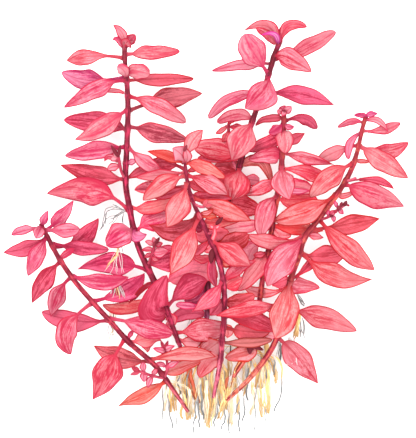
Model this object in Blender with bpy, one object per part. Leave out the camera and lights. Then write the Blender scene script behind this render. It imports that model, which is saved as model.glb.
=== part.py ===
"""A bunch of super red Ludwigia palustris with its roots, lying on a surface.

Six leafy stems lie side by side. The large leaves are solids of their own; small leaves, growing
tips and side shoots are fused to the stem that they grow from.

Places are given on the plan, which is the bunch seen from above: x to the right and y down, in plan
units of PLAN_UNIT. Heights above the surface, widths and thicknesses are in millimetres.
The growing tips point to +Y, the roots to -Y, and the surface is z = 0.
"""

from collections import namedtuple
from math import cos, log, pi, radians, sin, tan

import bmesh
import bpy
from mathutils import Matrix, Vector

MM = 0.001
PLAN_UNIT = 0.5 * MM
PLAN_CENTRE = (206.2, 226.5)

STEM_RADIUS = 1.25
GROWING_TIP = 0.7  # radius of a stem's growing tip as a share of the stem's
SHOOT_RADIUS = 0.6
STALK_RADIUS = 0.5
BLADE_THICKNESS = 0.8
TIP_THICKNESS = 0.5
TIP_WIDTH = 0.5
BLADE_FULLNESS = 0.85
FOLD = radians(10)
NODE_GAP = 0.35
ROOT_TOP_HEIGHT = 4.5
ROOT_TIP_HEIGHT = 0.8
ROOT_TIP_RADIUS = 0.7
TUFT_RADIUS = 0.8

# Section counts and the distance between sections along a stem or a root
STEM_SIDES = 6
SHOOT_SIDES = 5
ROOT_SIDES = 5
STEM_STEP = 13.0
ROOT_STEP = 13.0

# A fused leaf shorter than these has fewer sections
TINY_LEAF = 10.0
SMALL_LEAF = 20.0

# Where a leaf's sections stand, as shares of its blade from stalk to tip
LARGE_STATIONS = (0.0, 0.2, 0.45, 0.72, 1.0)
FUSED_STATIONS = (0.02, 0.3, 0.65, 1.0)
SMALL_STATIONS = (0.05, 0.5, 1.0)
TINY_STATIONS = (0.5, 1.0)

# Leaf colours as linear red, green and blue
TINTS = {
    "rose": (0.72, 0.085, 0.130),
    "salmon": (0.78, 0.165, 0.155),
    "coral": (0.72, 0.095, 0.085),
    "orange": (0.72, 0.110, 0.050),
    "crimson": (0.45, 0.030, 0.055),
    "mauve": (0.36, 0.055, 0.085),
    "violet": (0.70, 0.050, 0.250),
    "olive": (0.32, 0.090, 0.045),
}
STEM_COLOUR = (0.17, 0.012, 0.030)
ROOT_COLOUR = (0.62, 0.40, 0.14)

Leaf = namedtuple("Leaf", "name base mid tip heights width stalk tint widest",
                  defaults=(0.15, "rose", 0.45))
Stem = namedtuple("Stem", "name path shoots leaves small_leaves")

# Each stem path point is (plan x, plan y, height of the axis)
LEFT_TALL = Stem(
    "left_tall_stem",
    path=[(124, 41, 22), (125, 62, 22), (127, 84, 22), (128, 110, 22), (127, 146, 22),
          (126, 178, 22), (129.3, 209, 22), (138.6, 245, 23), (154.5, 283, 24), (168.5, 312, 24),
          (174, 330, 22), (179.7, 347, 19)],
    shoots=[[(126, 178, 22), (121, 170, 25), (118.3, 156, 27)],
            [(148, 266, 24), (156, 254, 27), (160.5, 241, 28)]],
    leaves=[
        Leaf("pair_1_left", (124.5, 57), (98, 56), (66.3, 60.4), (23, 15), 7.5, 0.32),
        Leaf("pair_1_right", (124.5, 57), (152, 53), (178.4, 49.7), (23, 17), 7, 0.18, "salmon"),
        Leaf("pair_2_left", (127, 80), (95, 88), (65, 106.5), (25, 13), 7.8, 0.22),
        Leaf("pair_3_right", (128, 95), (156, 105), (185.7, 121), (28, 22), 9, 0.18),
        Leaf("pair_4_left", (128, 110), (101, 124), (77.2, 139.3), (28, 19), 10.5, 0.12, "salmon"),
        Leaf("pair_4_right", (128, 111), (166, 98), (202.3, 89.9), (16, 8), 9, 0.3, "mauve"),
        Leaf("pair_5_right", (127.5, 128), (158, 132), (185, 140), (23, 16), 10, 0.12, "mauve"),
        Leaf("pair_6_left", (127, 148), (94, 150), (60.8, 152), (25, 12), 10, 0.18),
        Leaf("pair_7_left", (126, 178), (94, 174.5), (61.7, 164.5), (19, 8), 9.5, 0.15, "crimson"),
        Leaf("pair_8_left", (129, 210), (90, 192), (48.8, 193), (20, 0.25), 12.5, 0.22, "coral"),
        Leaf("pair_9_front", (135, 230), (120, 235), (104, 241), (31, 26), 12, 0.08, "violet"),
        Leaf("pair_10_left", (147, 267), (110, 263), (78.9, 268.7), (17, 9), 10, 0.2, "crimson"),
        Leaf("pair_12_front", (167, 309), (152, 301), (164, 274.6), (34, 33), 13, 0.05, "crimson"),
    ],
    small_leaves=[
        Leaf("pair 2 right", (127, 80), (160, 80), (192.8, 76.9), (22, 15), 6.5, 0.2, "crimson"),
        Leaf("pair 5 left", (127.5, 129), (96, 121), (62, 117.7), (12, 0.25), 9.5, 0.12, "crimson"),
        Leaf("tip hook", (124.2, 47), (123, 33), (111, 25), (25, 24), 5, 0.05, "coral"),
        Leaf("tip right", (124.2, 47), (130, 41), (136, 35), (25, 24), 3, 0.1),
        Leaf("tip left", (124.2, 47), (118, 42), (112, 38), (23, 22), 3, 0.1),
        Leaf("tip lobe", (124.3, 50), (125, 42), (131, 48), (28, 27), 4, 0.1, "salmon"),
        Leaf("fold right", (125.7, 70), (138, 70), (149, 74), (30, 29), 7, 0.1, "salmon"),
        Leaf("fold left", (125.7, 70), (121, 68), (116.5, 64.5), (28, 27), 4, 0.1, "salmon"),
        Leaf("pair 2 behind", (126.5, 76), (96, 79), (61.8, 71), (15, 9), 8, 0.3, "violet"),
        Leaf("pair 3 left", (128, 94), (112, 89), (96, 88), (17, 14), 3, 0.4),
        Leaf("pair 6 right", (127.2, 147), (146, 155), (163.5, 169), (28, 30), 8, 0.12),
        Leaf("pair 7 right", (126.5, 180), (137, 172), (150, 168), (17, 14), 4, 0.2, "crimson"),
        Leaf("pair 8 right", (129.3, 209), (154, 206), (179, 203), (22, 20), 6, 0.2, "orange"),
        Leaf("pair 9 lobe", (135, 230), (141, 230), (146, 234), (29, 28), 5, 0.1, "violet"),
        Leaf("pair 9 right", (134.5, 232), (148, 221), (167, 214), (18, 15), 7, 0.1),
        Leaf("pair 10 right", (148, 267), (163, 263), (179, 261), (20, 16), 8, 0.1, "crimson"),
        Leaf("pair 11 left", (154.5, 283), (139, 287), (123, 299), (21, 16), 10, 0.15),
        Leaf("pair 11 arch", (155, 285), (196, 264), (213, 281), (20, 22), 9, 0.3, "mauve"),
        Leaf("pair 12 orange", (166, 307), (134, 307), (102, 304), (18, 13), 6, 0.3, "orange"),
        Leaf("pair 12 low", (168.5, 312), (158, 318), (146, 323), (18, 14), 4, 0.1, "orange"),
        Leaf("pair 12 right", (167, 308), (185, 289), (203, 277), (27, 30), 9.5, 0.25, "crimson"),
        Leaf("pair 13 right", (174.5, 331), (200, 329), (224, 331), (20, 18), 8.5, 0.12),
        Leaf("bud left", (118.3, 157), (115, 152), (111.6, 146), (28, 28), 2, 0.1, "crimson"),
        Leaf("bud right", (118.3, 157), (119, 151), (120.5, 145.6), (28, 28), 2, 0.1, "crimson"),
        Leaf("shoot 1 left", (119, 160), (112, 160), (104.5, 160.4), (27, 26), 3, 0.1),
        Leaf("shoot 1 low", (120, 165), (113, 168), (107, 171), (26, 25), 4, 0.1),
        Leaf("shoot 2 left", (158, 250), (150, 248), (143, 245), (28, 27), 5, 0.1),
        Leaf("shoot 2 right", (158, 250), (162, 246), (166, 240), (28, 27), 4, 0.1),
        Leaf("shoot 2 low", (155, 256), (149, 257), (143, 259), (27, 26), 5, 0.1),
    ],
)

RIGHT_TALL = Stem(
    "right_tall_stem",
    path=[(279.6, 42.5, 28), (273.7, 55.7, 27), (268.4, 76.3, 26), (261, 98, 25),
          (251, 123.4, 23), (241.8, 157, 18), (236, 180, 14), (222, 219, 11), (211.4, 258, 10),
          (208, 285, 11), (207.4, 315, 11.5), (205.2, 346, 11)],
    shoots=[[(238, 172, 16), (231, 155, 12), (228.8, 135, 12), (228.7, 123, 13)]],
    leaves=[
        Leaf("pair_1_front", (268.4, 75), (255, 54), (243, 36), (36, 36), 14, 0.3, "salmon", 0.55),
        Leaf("pair_2_right", (273.7, 56), (294, 58), (312, 71.6), (32, 26), 9.5, 0.1),
        Leaf("pair_3_front", (268, 78), (262, 93), (251, 110), (34, 31), 14, 0.05, "rose", 0.6),
        Leaf("pair_3_left", (262, 95), (234, 99), (209.6, 118.7), (20, 13), 8, 0.22),
        Leaf("pair_3_right", (262, 94), (299, 93), (331.8, 105), (20, 12), 9.5, 0.25, "crimson"),
        Leaf("pair_4_front", (251, 124), (243, 141), (231, 161), (31, 25), 14, 0.08, "salmon"),
        Leaf("pair_6_front", (239, 168), (234, 183), (236, 202), (27, 24), 11, 0.08, "coral"),
    ],
    small_leaves=[
        Leaf("pair 2 left", (270, 66), (243, 63), (212.6, 72.3), (24, 16), 6.5, 0.2),
        Leaf("top left", (278.5, 44), (267, 25), (245.5, 29.5), (33, 31), 6, 0.05, "coral"),
        Leaf("top petal", (279, 43), (271, 34), (262, 29), (36, 38), 4.5, 0.05, "coral"),
        Leaf("top violet", (279, 45), (270, 35), (259.7, 38), (40, 40), 2.5, 0.05, "violet"),
        Leaf("top right", (280, 41), (292, 27), (306.4, 24), (31, 29), 5.5, 0.05, "coral"),
        Leaf("top bud", (279.6, 43), (279, 36), (280, 28), (29, 30), 2, 0.1, "crimson"),
        Leaf("pair 2 far right", (273, 58), (306, 47), (337.7, 32.2), (17, 0.25), 7, 0.3, "coral"),
        Leaf("pair 4 left", (252, 121), (236, 114), (217, 118), (20, 17), 7, 0.15, "coral"),
        Leaf("pair 5 left", (242, 155), (219, 148), (196, 149), (14, 11), 10, 0.1, "coral"),
        Leaf("pair 5 low", (241, 160), (219, 160), (198, 159), (11, 7), 4, 0.1, "crimson"),
        Leaf("pair 5 right", (240.5, 163), (260, 161), (271, 180), (21, 19), 4.5, 0.05, "olive"),
        Leaf("pair 6 left", (238, 172), (225, 168), (213, 167), (9, 6), 8, 0.1, "crimson"),
        Leaf("pair 6 right", (237, 174), (248, 178), (260, 180), (14, 12), 5, 0.1, "mauve"),
        Leaf("pair 7 right", (227, 206), (243, 206), (259, 206), (12, 12), 8.5, 0.1, "crimson"),
        Leaf("pair 9 left", (208, 289), (197, 295), (185, 299), (10, 8), 5, 0.1, "mauve"),
        Leaf("pair 10 violet", (207.5, 307), (192, 304), (176.6, 307), (16, 14), 3.5, 0.1, "violet"),
        Leaf("pair 10 left", (207.4, 314), (189, 315), (171, 320), (11, 9), 6, 0.1, "crimson"),
        Leaf("shoot left", (228.7, 126), (222, 128), (215.5, 133), (13, 12), 3.5, 0.1, "coral"),
        Leaf("shoot right", (228.7, 126), (236, 123), (242, 127), (14, 13), 3.5, 0.1, "coral"),
        Leaf("shoot top", (228.7, 124), (233, 121), (238, 119), (15, 15), 3, 0.1, "crimson"),
        Leaf("shoot low", (228.8, 130), (226, 135), (224, 141), (16, 16), 4, 0.1, "coral"),
    ],
)

CENTRE = Stem(
    "centre_stem",
    path=[(184.8, 163, 36), (187, 180, 36), (192, 198, 37), (200, 217.5, 38), (210.6, 240, 38),
          (219.5, 263, 38), (224, 290, 37), (224, 319, 34), (222, 340, 27), (219.6, 361, 19),
          (213.4, 398, 9.5)],
    shoots=[[(194, 204, 37), (201, 207, 40), (206, 206, 41)],
            [(207, 234, 38), (213, 232, 41), (215, 226, 42)]],
    leaves=[
        Leaf("pair_2_left", (186.3, 174), (164, 184), (143.3, 199.6), (41, 33), 10, 0.2, "salmon"),
        Leaf("pair_2_right", (187, 176), (212, 184), (233.5, 195.6), (39, 32), 8.5, 0.1),
        Leaf("pair_3_front", (188, 184), (180, 204), (168.8, 228.7), (46, 41), 12, 0.1, "salmon"),
        Leaf("pair_4_right", (192.5, 199), (222, 207), (248.6, 219.6), (37, 30), 9, 0.1, "coral"),
        Leaf("pair_5_front", (200.5, 219), (185, 244), (172, 273), (45, 38), 12.8, 0.1, "salmon"),
        Leaf("pair_6_right", (211, 241), (232, 250), (248, 268.4), (43, 36), 10, 0.1, "coral"),
        Leaf("pair_9_left", (222.8, 281), (208, 298), (191.3, 312.6), (42, 36), 11, 0.12, "coral"),
    ],
    small_leaves=[
        Leaf("pair 1 right", (185.5, 163), (207, 166), (224.6, 177.3), (40, 35), 7.5, 0.1, "orange"),
        Leaf("tip front", (184.8, 164), (182, 156), (173, 148), (41, 42), 7.5, 0.05),
        Leaf("tip bud", (184.8, 163), (184, 155), (186, 147), (39, 42), 3, 0.1, "mauve"),
        Leaf("tip right", (185, 163), (190, 146), (202, 130.5), (35, 34), 7.5, 0.2, "salmon"),
        Leaf("pair 1 left", (184.8, 164), (166, 156), (148.2, 151.3), (33, 30), 5, 0.1, "orange"),
        Leaf("pair 1 low left", (185.5, 168), (170, 167), (154, 168), (25, 22), 5, 0.1, "crimson"),
        Leaf("pair 1 low right", (186, 170), (192, 168), (198, 170), (33, 32), 3, 0.1, "crimson"),
        Leaf("pair 2 far left", (186.3, 172), (163, 173), (141, 176), (32, 30), 4, 0.2, "coral"),
        Leaf("pair 2 low right", (188, 183), (196, 186), (204, 188), (32, 30), 4, 0.1, "crimson"),
        Leaf("pair 3 right", (190.5, 193), (206, 196), (223, 196), (31, 29), 3.5, 0.1, "crimson"),
        Leaf("pair 3 left", (188.5, 187), (172, 192), (156, 196), (31, 28), 5, 0.1, "crimson"),
        Leaf("pair 3 far left", (188, 184), (160, 189), (134, 188), (26, 21), 5.5, 0.2, "mauve"),
        Leaf("pair 4 left", (199, 215), (172, 233), (146.6, 228), (31, 27), 9, 0.1, "crimson"),
        Leaf("pair 5 right", (202, 222), (222, 219), (244, 219), (32, 29), 5, 0.1, "orange"),
        Leaf("pair 5 low right", (208, 235), (217, 233), (230, 226), (33, 32), 8, 0.1, "crimson"),
        Leaf("pair 6 left", (211, 242), (202, 246), (193, 251), (35, 34), 4, 0.1, "crimson"),
        Leaf("pair 6 far right", (212, 243), (231, 242), (249, 236), (33, 30), 7.5, 0.1, "crimson"),
        Leaf("pair 7 right", (220.5, 270), (235, 272), (250, 270), (33, 30), 6, 0.1, "coral"),
        Leaf("pair 8 right", (223.4, 285), (233, 285), (243, 281), (33, 31), 7, 0.1, "coral"),
        Leaf("pair 10 right", (224, 299), (238, 300), (251, 297), (31, 29), 7, 0.1, "crimson"),
        Leaf("pair 11 right", (224, 318), (249, 322), (272, 325), (28, 25), 8, 0.1, "crimson"),
        Leaf("pair 11 low right", (223.5, 324), (247, 331), (268, 335), (23, 20), 7, 0.1, "crimson"),
        Leaf("pair 12 right", (222, 341), (248, 342), (270, 339), (25, 22), 4, 0.1, "olive"),
        Leaf("pair 13 left", (219.6, 361), (208, 368), (200.5, 379), (15, 11), 8, 0.1, "coral"),
        Leaf("bud right", (205, 206), (209, 207), (212, 205), (42, 42), 2.5, 0.1, "salmon"),
        Leaf("bud up", (204, 206), (204, 203), (207, 200), (42, 43), 2.5, 0.1, "salmon"),
        Leaf("twig left", (215, 228), (212, 225), (209, 223), (43, 43), 1.8, 0.1, "salmon"),
        Leaf("twig right", (215, 228), (218, 225), (221, 224), (43, 43), 1.8, 0.1, "salmon"),
    ],
)

INNER = Stem(
    "inner_stem",
    path=[(284, 112, 24), (283, 129, 24), (282.2, 155, 24), (281, 172, 24), (276.5, 200, 23),
          (274, 222.7, 22), (268, 251.5, 21), (262.3, 280, 19), (258, 312, 16), (250.5, 345, 12.5),
          (234.5, 378, 10)],
    shoots=[],
    leaves=[
        Leaf("pair_2_front", (283, 129), (284, 140), (284, 153.5), (30, 29), 9, 0.05, "salmon"),
        Leaf("pair_4_front", (281.6, 167), (283, 181), (288.5, 200), (32, 31), 11, 0.08),
        Leaf("pair_5_front", (277, 196), (267, 211), (259, 230), (31, 28), 11, 0.08),
    ],
    small_leaves=[
        Leaf("pair 1 right", (284, 120), (303, 119), (318.8, 128.2), (24, 19), 6.5, 0.1, "crimson"),
        Leaf("pair 4 left", (280, 180), (262, 188), (244.6, 195), (26, 20), 7, 0.15),
        Leaf("tip left", (284, 113), (280, 110), (276.5, 108), (27, 27), 3.5, 0.1, "coral"),
        Leaf("tip right", (284, 113), (288, 110), (292, 108), (27, 27), 3.5, 0.1, "coral"),
        Leaf("tip up", (284, 113), (284, 109), (285, 104.5), (26, 27), 3.5, 0.1, "coral"),
        Leaf("tip down", (284, 112), (283, 114), (281, 117), (28, 28), 3, 0.1),
        Leaf("pair 1 left", (283.8, 118), (268, 118), (255.4, 128), (23, 20), 4, 0.1, "crimson"),
        Leaf("pair 2 violet", (283.3, 126), (276, 129), (268, 131), (27, 26), 4.5, 0.1, "violet"),
        Leaf("pair 2 small", (283.3, 126), (289, 126), (295, 127), (27, 26), 2.5, 0.1, "violet"),
        Leaf("pair 2 left", (282.8, 137), (267, 141), (248.8, 151.6), (20, 17), 7, 0.1, "crimson"),
        Leaf("pair 2 right", (282.7, 145), (293, 140), (305, 133), (20, 17), 5.5, 0.15, "crimson"),
        Leaf("pair 3 left", (282, 156), (265, 157), (248.8, 158), (25, 22), 5, 0.1),
        Leaf("pair 3 right", (282, 156), (307, 158), (331.6, 163), (25, 20), 6, 0.1),
        Leaf("pair 4 right", (281.4, 169), (303, 172), (323, 177), (18, 16), 6.5, 0.1, "coral"),
        Leaf("pair 4 low right", (279.5, 182), (297, 184), (313, 187), (15, 12), 6, 0.1, "coral"),
        Leaf("pair 5 violet", (278, 192), (294, 191), (310, 191), (19, 17), 2.5, 0.1, "violet"),
        Leaf("pair 5 right", (277, 199), (297, 200), (317, 201), (13, 10), 6, 0.1, "orange"),
        Leaf("pair 6 left", (273.5, 226), (248, 226), (223.6, 229), (22, 20), 6, 0.25, "salmon"),
        Leaf("pair 6 right", (273.5, 225), (292, 229), (310, 226), (20, 17), 4.5, 0.1, "orange"),
        Leaf("pair 6 low right", (272.5, 230), (282, 233), (291, 235), (20, 19), 4, 0.1),
        Leaf("pair 7 down", (269.5, 245), (257, 255), (247, 273), (17, 14), 6.5, 0.15),
        Leaf("pair 7 left", (268, 252), (261, 253), (253, 255), (24, 23), 3, 0.1, "crimson"),
        Leaf("pair 8 down", (267, 256), (255, 267), (239, 287), (23, 22), 6.5, 0.1, "coral"),
        Leaf("pair 10 left", (244, 359), (236, 353), (228, 355), (13, 12), 6, 0.1),
    ],
)

ARCHING = Stem(
    "arching_stem",
    path=[(365.9, 117, 18), (362, 130, 18), (357.9, 152, 19), (349, 172, 20), (336.7, 195, 22),
          (321.4, 217, 24), (307, 236.7, 26), (298, 257, 26), (290.8, 278.6, 25),
          (284, 308, 23), (276.8, 338.4, 18), (262.5, 361.6, 13), (245, 381, 10.5), (227, 399, 9.5)],
    shoots=[[(321.4, 217, 24), (334, 211, 29), (347, 204, 32)],
            [(345, 181, 20.5), (351, 180, 23), (356, 178, 24)],
            [(284, 310, 22), (298, 316, 9), (297, 328, 5), (291, 338, 3)],
            [(298, 316, 9), (303, 326, 5), (305, 337, 3)]],
    leaves=[
        Leaf("pair_3_right", (359.3, 146), (382, 162), (407, 178.2), (24, 14), 10, 0.12, "salmon"),
        Leaf("pair_4_left", (353, 163), (329, 178), (311, 195), (28, 25), 10.5, 0.1, "salmon"),
        Leaf("pair_5_right", (344.5, 182), (374, 197), (404, 206), (21, 0.25), 12.8, 0.1, "coral"),
        Leaf("pair_6_left", (336, 196), (306, 213), (277, 220), (31, 26), 11.5, 0.1, "coral"),
        Leaf("pair_7_left", (305, 240), (281, 262), (267.3, 285), (37, 34), 12.8, 0.08),
        Leaf("pair_8_right", (320, 219), (346, 247), (371.9, 271.4), (29, 17), 13, 0.2, "coral"),
        Leaf("pair_9_right", (301, 251), (335, 273), (372.2, 277.6), (22, 8), 12.5, 0.15, "coral"),
        Leaf("pair_10_front", (289.8, 283), (284, 310), (280.4, 338), (35, 31), 13.5, 0.08,
             "salmon"),
        Leaf("pair_11_left", (285.5, 302), (249, 308), (217.7, 313), (38, 40), 8, 0.15, "coral"),
        Leaf("pair_11_right", (283.5, 307), (321, 315), (356, 330.4), (17, 0.25), 11.5, 0.2, "coral"),
        Leaf("pair_12_right", (277, 339), (300, 360), (318, 381), (15, 0.25), 12, 0.1),
    ],
    small_leaves=[
        Leaf("pair 3 left", (358.6, 147), (335, 150), (314, 164), (20, 14), 7, 0.2, "coral"),
        Leaf("tip left", (365.9, 118), (360, 115), (354, 113), (19, 18), 2.5, 0.1, "violet"),
        Leaf("tip right", (365.9, 118), (371, 114), (377, 112), (19, 18), 3, 0.1, "violet"),
        Leaf("pair 1 left", (364.3, 123), (352, 121), (338, 128.7), (17, 13), 4.5, 0.1),
        Leaf("pair 1 right", (364.3, 124), (382, 127), (400.4, 122.7), (19, 14), 6, 0.1, "salmon"),
        Leaf("pair 2 violet", (362, 131), (348, 141), (348, 160), (22, 22), 3, 0.1, "violet"),
        Leaf("pair 3 far right", (359, 149), (383, 152), (408.3, 142.4), (12, 0.25), 6, 0.3, "coral"),
        Leaf("pair 4 right", (353.5, 162), (361, 160), (369, 160), (17, 16), 1.6, 0.1),
        Leaf("pair 5 far right", (345, 180), (371, 179), (393, 188.3), (14, 6), 5, 0.15, "crimson"),
        Leaf("pair 6 right", (338, 193), (347, 192), (356, 191), (19, 17), 3, 0.1),
        Leaf("pair 7 right", (308, 236), (316, 236), (324, 235), (22, 19), 4, 0.1),
        Leaf("pair 7 far left", (306, 239), (276, 242), (248.6, 235), (29, 29), 6.5, 0.25, "coral"),
        Leaf("pair 8 far right", (320, 219), (350, 223), (380, 218.4), (18, 7), 9, 0.2, "crimson"),
        Leaf("pair 9 far right", (300, 252), (321, 252), (341, 259), (19, 13), 8, 0.15, "crimson"),
        Leaf("pair 9 stalk leaf", (292.5, 275), (302, 269), (314, 264), (22, 19), 3, 0.1, "crimson"),
        Leaf("pair 10 right", (290.5, 280), (305, 285), (320, 286), (20, 17), 6.5, 0.1),
        Leaf("pair 10 left", (290.5, 279), (281, 285), (271, 290), (22, 20), 5, 0.1, "crimson"),
        Leaf("pair 10 far left", (288.5, 288), (267, 293), (245, 293), (24, 22), 6, 0.1),
        Leaf("bud 1", (340, 208), (338, 205), (337, 202), (32, 33), 1.8, 0.1, "crimson"),
        Leaf("bud 2", (345, 205), (346, 202), (347, 200), (33, 34), 1.8, 0.1, "crimson"),
        Leaf("bud 3", (338, 209), (342, 211), (347, 210), (32, 32), 2, 0.1, "rose"),
        Leaf("bud 4", (332, 212), (334, 216), (338, 218), (30, 30), 2.5, 0.1, "rose"),
    ],
)

LEANING = Stem(
    "leaning_stem",
    path=[(41, 225, 18), (47, 237, 19), (60.4, 259.4, 21), (76, 282, 23), (94.7, 304, 25),
          (111, 322, 26), (130, 343, 26), (148.8, 360.5, 24), (164, 378.6, 18), (189.6, 412, 8.5)],
    shoots=[[(164, 378.6, 18), (150, 375, 23), (137.6, 370.4, 24)],
            [(164, 378.6, 18), (167, 370, 21), (166.6, 357, 22), (164.5, 348, 23)]],
    leaves=[
        Leaf("pair_1_left", (47, 237), (27, 248.5), (4, 252.5), (14, 0.25), 8, 0.1, "crimson"),
        Leaf("pair_1_front", (47, 238), (36, 256), (29, 275), (24, 19), 9, 0.1),
        Leaf("pair_3_left", (61, 261), (44, 280), (33.4, 302.6), (18, 6), 9.5, 0.18, "crimson"),
        Leaf("pair_4_left", (73, 278), (59, 296), (51.7, 316.4), (18, 11), 9, 0.2, "crimson"),
        Leaf("pair_5_left", (93, 302), (68, 327), (72.2, 354), (27, 19), 11, 0.22),
        Leaf("pair_6_left", (109.5, 320.5), (76, 322), (40.5, 312), (16, 4), 8.5, 0.15, "crimson"),
        Leaf("pair_6_right", (110, 320), (142, 326), (173.3, 329.6), (32, 29), 9, 0.22),
        Leaf("pair_7_left", (128.5, 341), (106, 367), (94.7, 400), (27, 15), 13.5, 0.2, "coral"),
        Leaf("pair_8_right", (149, 360), (184, 355), (215.5, 358), (28, 21), 7.5, 0.1, "salmon"),
        Leaf("pair_9_left", (165, 379), (138, 396), (118.7, 406.6), (14, 0.25), 8, 0.15, "orange"),
    ],
    small_leaves=[
        Leaf("tip leaf right", (44, 230), (62, 219), (73, 201.7), (21, 20), 8, 0.25),
        Leaf("pair 2 up", (53.5, 247), (79, 238), (98.4, 220.3), (14, 9), 8.5, 0.3, "crimson"),
        Leaf("pair 4 right", (73, 277), (100, 282), (128, 277), (28, 27), 7.5, 0.1),
        Leaf("pair 8 left", (148, 361), (121, 361), (93.2, 347.4), (14, 8), 9, 0.15, "mauve"),
        Leaf("tip up", (42, 227), (44, 219), (48.4, 211), (22, 22), 4.5, 0.1),
        Leaf("tip left", (42, 227), (27, 226), (12.5, 233), (20, 16), 4.5, 0.1),
        Leaf("tip down", (42, 227), (39, 232), (35, 239), (25, 25), 5, 0.1),
        Leaf("tip right", (43.5, 229), (63, 230), (83, 232), (25, 23), 7, 0.1),
        Leaf("pair 2 right", (52, 245), (82, 248), (110, 249), (20, 18), 6.5, 0.25, "crimson"),
        Leaf("pair 3 right", (60, 258.5), (66, 254), (73, 249), (24, 24), 2, 0.1),
        Leaf("pair 5 right", (93.5, 301), (101, 298), (109, 294), (27, 26), 2, 0.1),
        Leaf("pair 7 right", (129, 341), (131, 335), (134, 330), (27, 27), 2, 0.1),
        Leaf("pair 7 orange", (129, 342), (143, 343), (156, 343), (21, 18), 7.5, 0.1, "orange"),
        Leaf("pair 9 right", (161, 375), (180, 369), (198, 364), (17, 14), 6, 0.1, "coral"),
        Leaf("low shoot bud", (139, 371), (135, 369), (132, 367), (25, 25), 3, 0.1, "crimson"),
        Leaf("low shoot 1", (145, 373), (143, 368), (143, 364), (26, 26), 3, 0.1),
        Leaf("low shoot 2", (145, 373), (143, 378), (142, 383), (24, 23), 3, 0.1),
        Leaf("low shoot 3", (152, 375.5), (150, 380), (149, 386), (23, 22), 3.5, 0.1),
        Leaf("up shoot left", (167, 368), (161, 364), (156, 362), (23, 23), 2.5, 0.1),
        Leaf("up shoot right", (167, 368), (173, 364), (179, 361), (23, 23), 2.5, 0.1),
        Leaf("up tip left", (165, 350), (159, 350), (153, 349), (25, 25), 3.5, 0.1),
        Leaf("up tip right", (165, 350), (170, 350), (175, 348), (25, 25), 3.5, 0.1),
        Leaf("up tip bud", (165, 350), (164, 345), (161, 341), (25, 26), 2, 0.1, "crimson"),
        Leaf("up tip bud 2", (165, 350), (167, 345), (168, 341), (25, 26), 2, 0.1, "crimson"),
    ],
)

STEMS = [LEFT_TALL, RIGHT_TALL, CENTRE, INNER, ARCHING, LEANING]

# Root clumps run from the stem bases to the root tips: top, tip and radius
ROOT_CLUMPS = [
    ((192, 352), (163, 431), 1.6), ((194, 356), (172, 427), 2.4), ((198, 356), (182, 422), 3.0),
    ((203, 350), (192, 434), 2.4), ((208, 352), (203, 424), 3.6), ((214, 352), (213, 428), 3.6),
    ((222, 350), (229, 433), 2.6), ((226, 352), (222, 424), 3.6), ((232, 352), (238, 430), 3.0),
    ((238, 352), (246, 420), 3.2), ((246, 350), (254, 434), 2.2), ((250, 352), (262, 416), 3.2),
    ((256, 350), (275, 412), 2.0), ((260, 352), (284, 388), 1.8), ((204, 352), (166, 398), 2.0),
]
ROOT_CROWN = ((227, 357), (36, 9), 4.5)

# Water roots that hang from the left tall stem, each strand a path of (plan x, plan y, height)
ROOT_TUFTS = {
    "upper_root_tuft": [
        [(121.5, 211, 20), (110, 214, 18), (102, 226, 15)],
        [(121.5, 211, 20), (113, 219, 17), (101, 237, 13)],
        [(121.5, 211, 20), (121, 217, 18), (123, 224, 17)],
    ],
    "hanging_root_tuft": [
        [(130.5, 233, 20), (119, 243, 21), (110, 272, 21.5), (107, 303, 11.5), (110, 338, 7)],
        [(130.5, 233, 20), (119, 243, 21), (115, 273, 21.5), (115, 306, 11.5), (114, 345, 7)],
        [(130.5, 233, 20), (119, 243, 21), (121, 272, 22), (125, 303, 11.5), (117, 338, 7)],
    ],
}


def place(plan, height):
    """The point in metres at a plan place and a height in millimetres."""
    return Vector(((plan[0] - PLAN_CENTRE[0]) * PLAN_UNIT,
                   (PLAN_CENTRE[1] - plan[1]) * PLAN_UNIT,
                   height * MM))


def clear_scene():
    for old in list(bpy.data.objects):
        bpy.data.objects.remove(old, do_unlink=True)


def paint(name, colour, roughness):
    """A finish of one colour."""
    material = bpy.data.materials.new(name)
    material.use_nodes = True
    shader = material.node_tree.nodes["Principled BSDF"]
    shader.inputs["Base Color"].default_value = (*colour, 1.0)
    shader.inputs["Roughness"].default_value = roughness
    shader.inputs["Metallic"].default_value = 0.0
    material.diffuse_color = (*colour, 1.0)
    return material


def smooth_path(points, step):
    """Points about one step apart on a smooth curve through all the given points."""
    ends = [2 * points[0] - points[1], *points, 2 * points[-1] - points[-2]]
    path = []
    for before, start, end, after in zip(ends, ends[1:], ends[2:], ends[3:]):
        count = max(1, round((end - start).length / step))
        for number in range(count):
            t = number / count
            path.append(0.5 * (2 * start + (end - before) * t
                               + (2 * before - 5 * start + 4 * end - after) * t * t
                               + (3 * start - before - 3 * end + after) * t ** 3))
    path.append(points[-1])
    return path


def directions(path):
    """The direction of travel at each point of a path."""
    last = len(path) - 1
    return [(path[min(i + 1, last)] - path[max(i - 1, 0)]).normalized() for i in range(last + 1)]


def level_frame(direction):
    """The level sideways direction and the upward normal of a piece that runs along a direction."""
    side = Vector((0, 0, 1)).cross(direction).normalized()
    return side, direction.cross(side).normalized()


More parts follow.
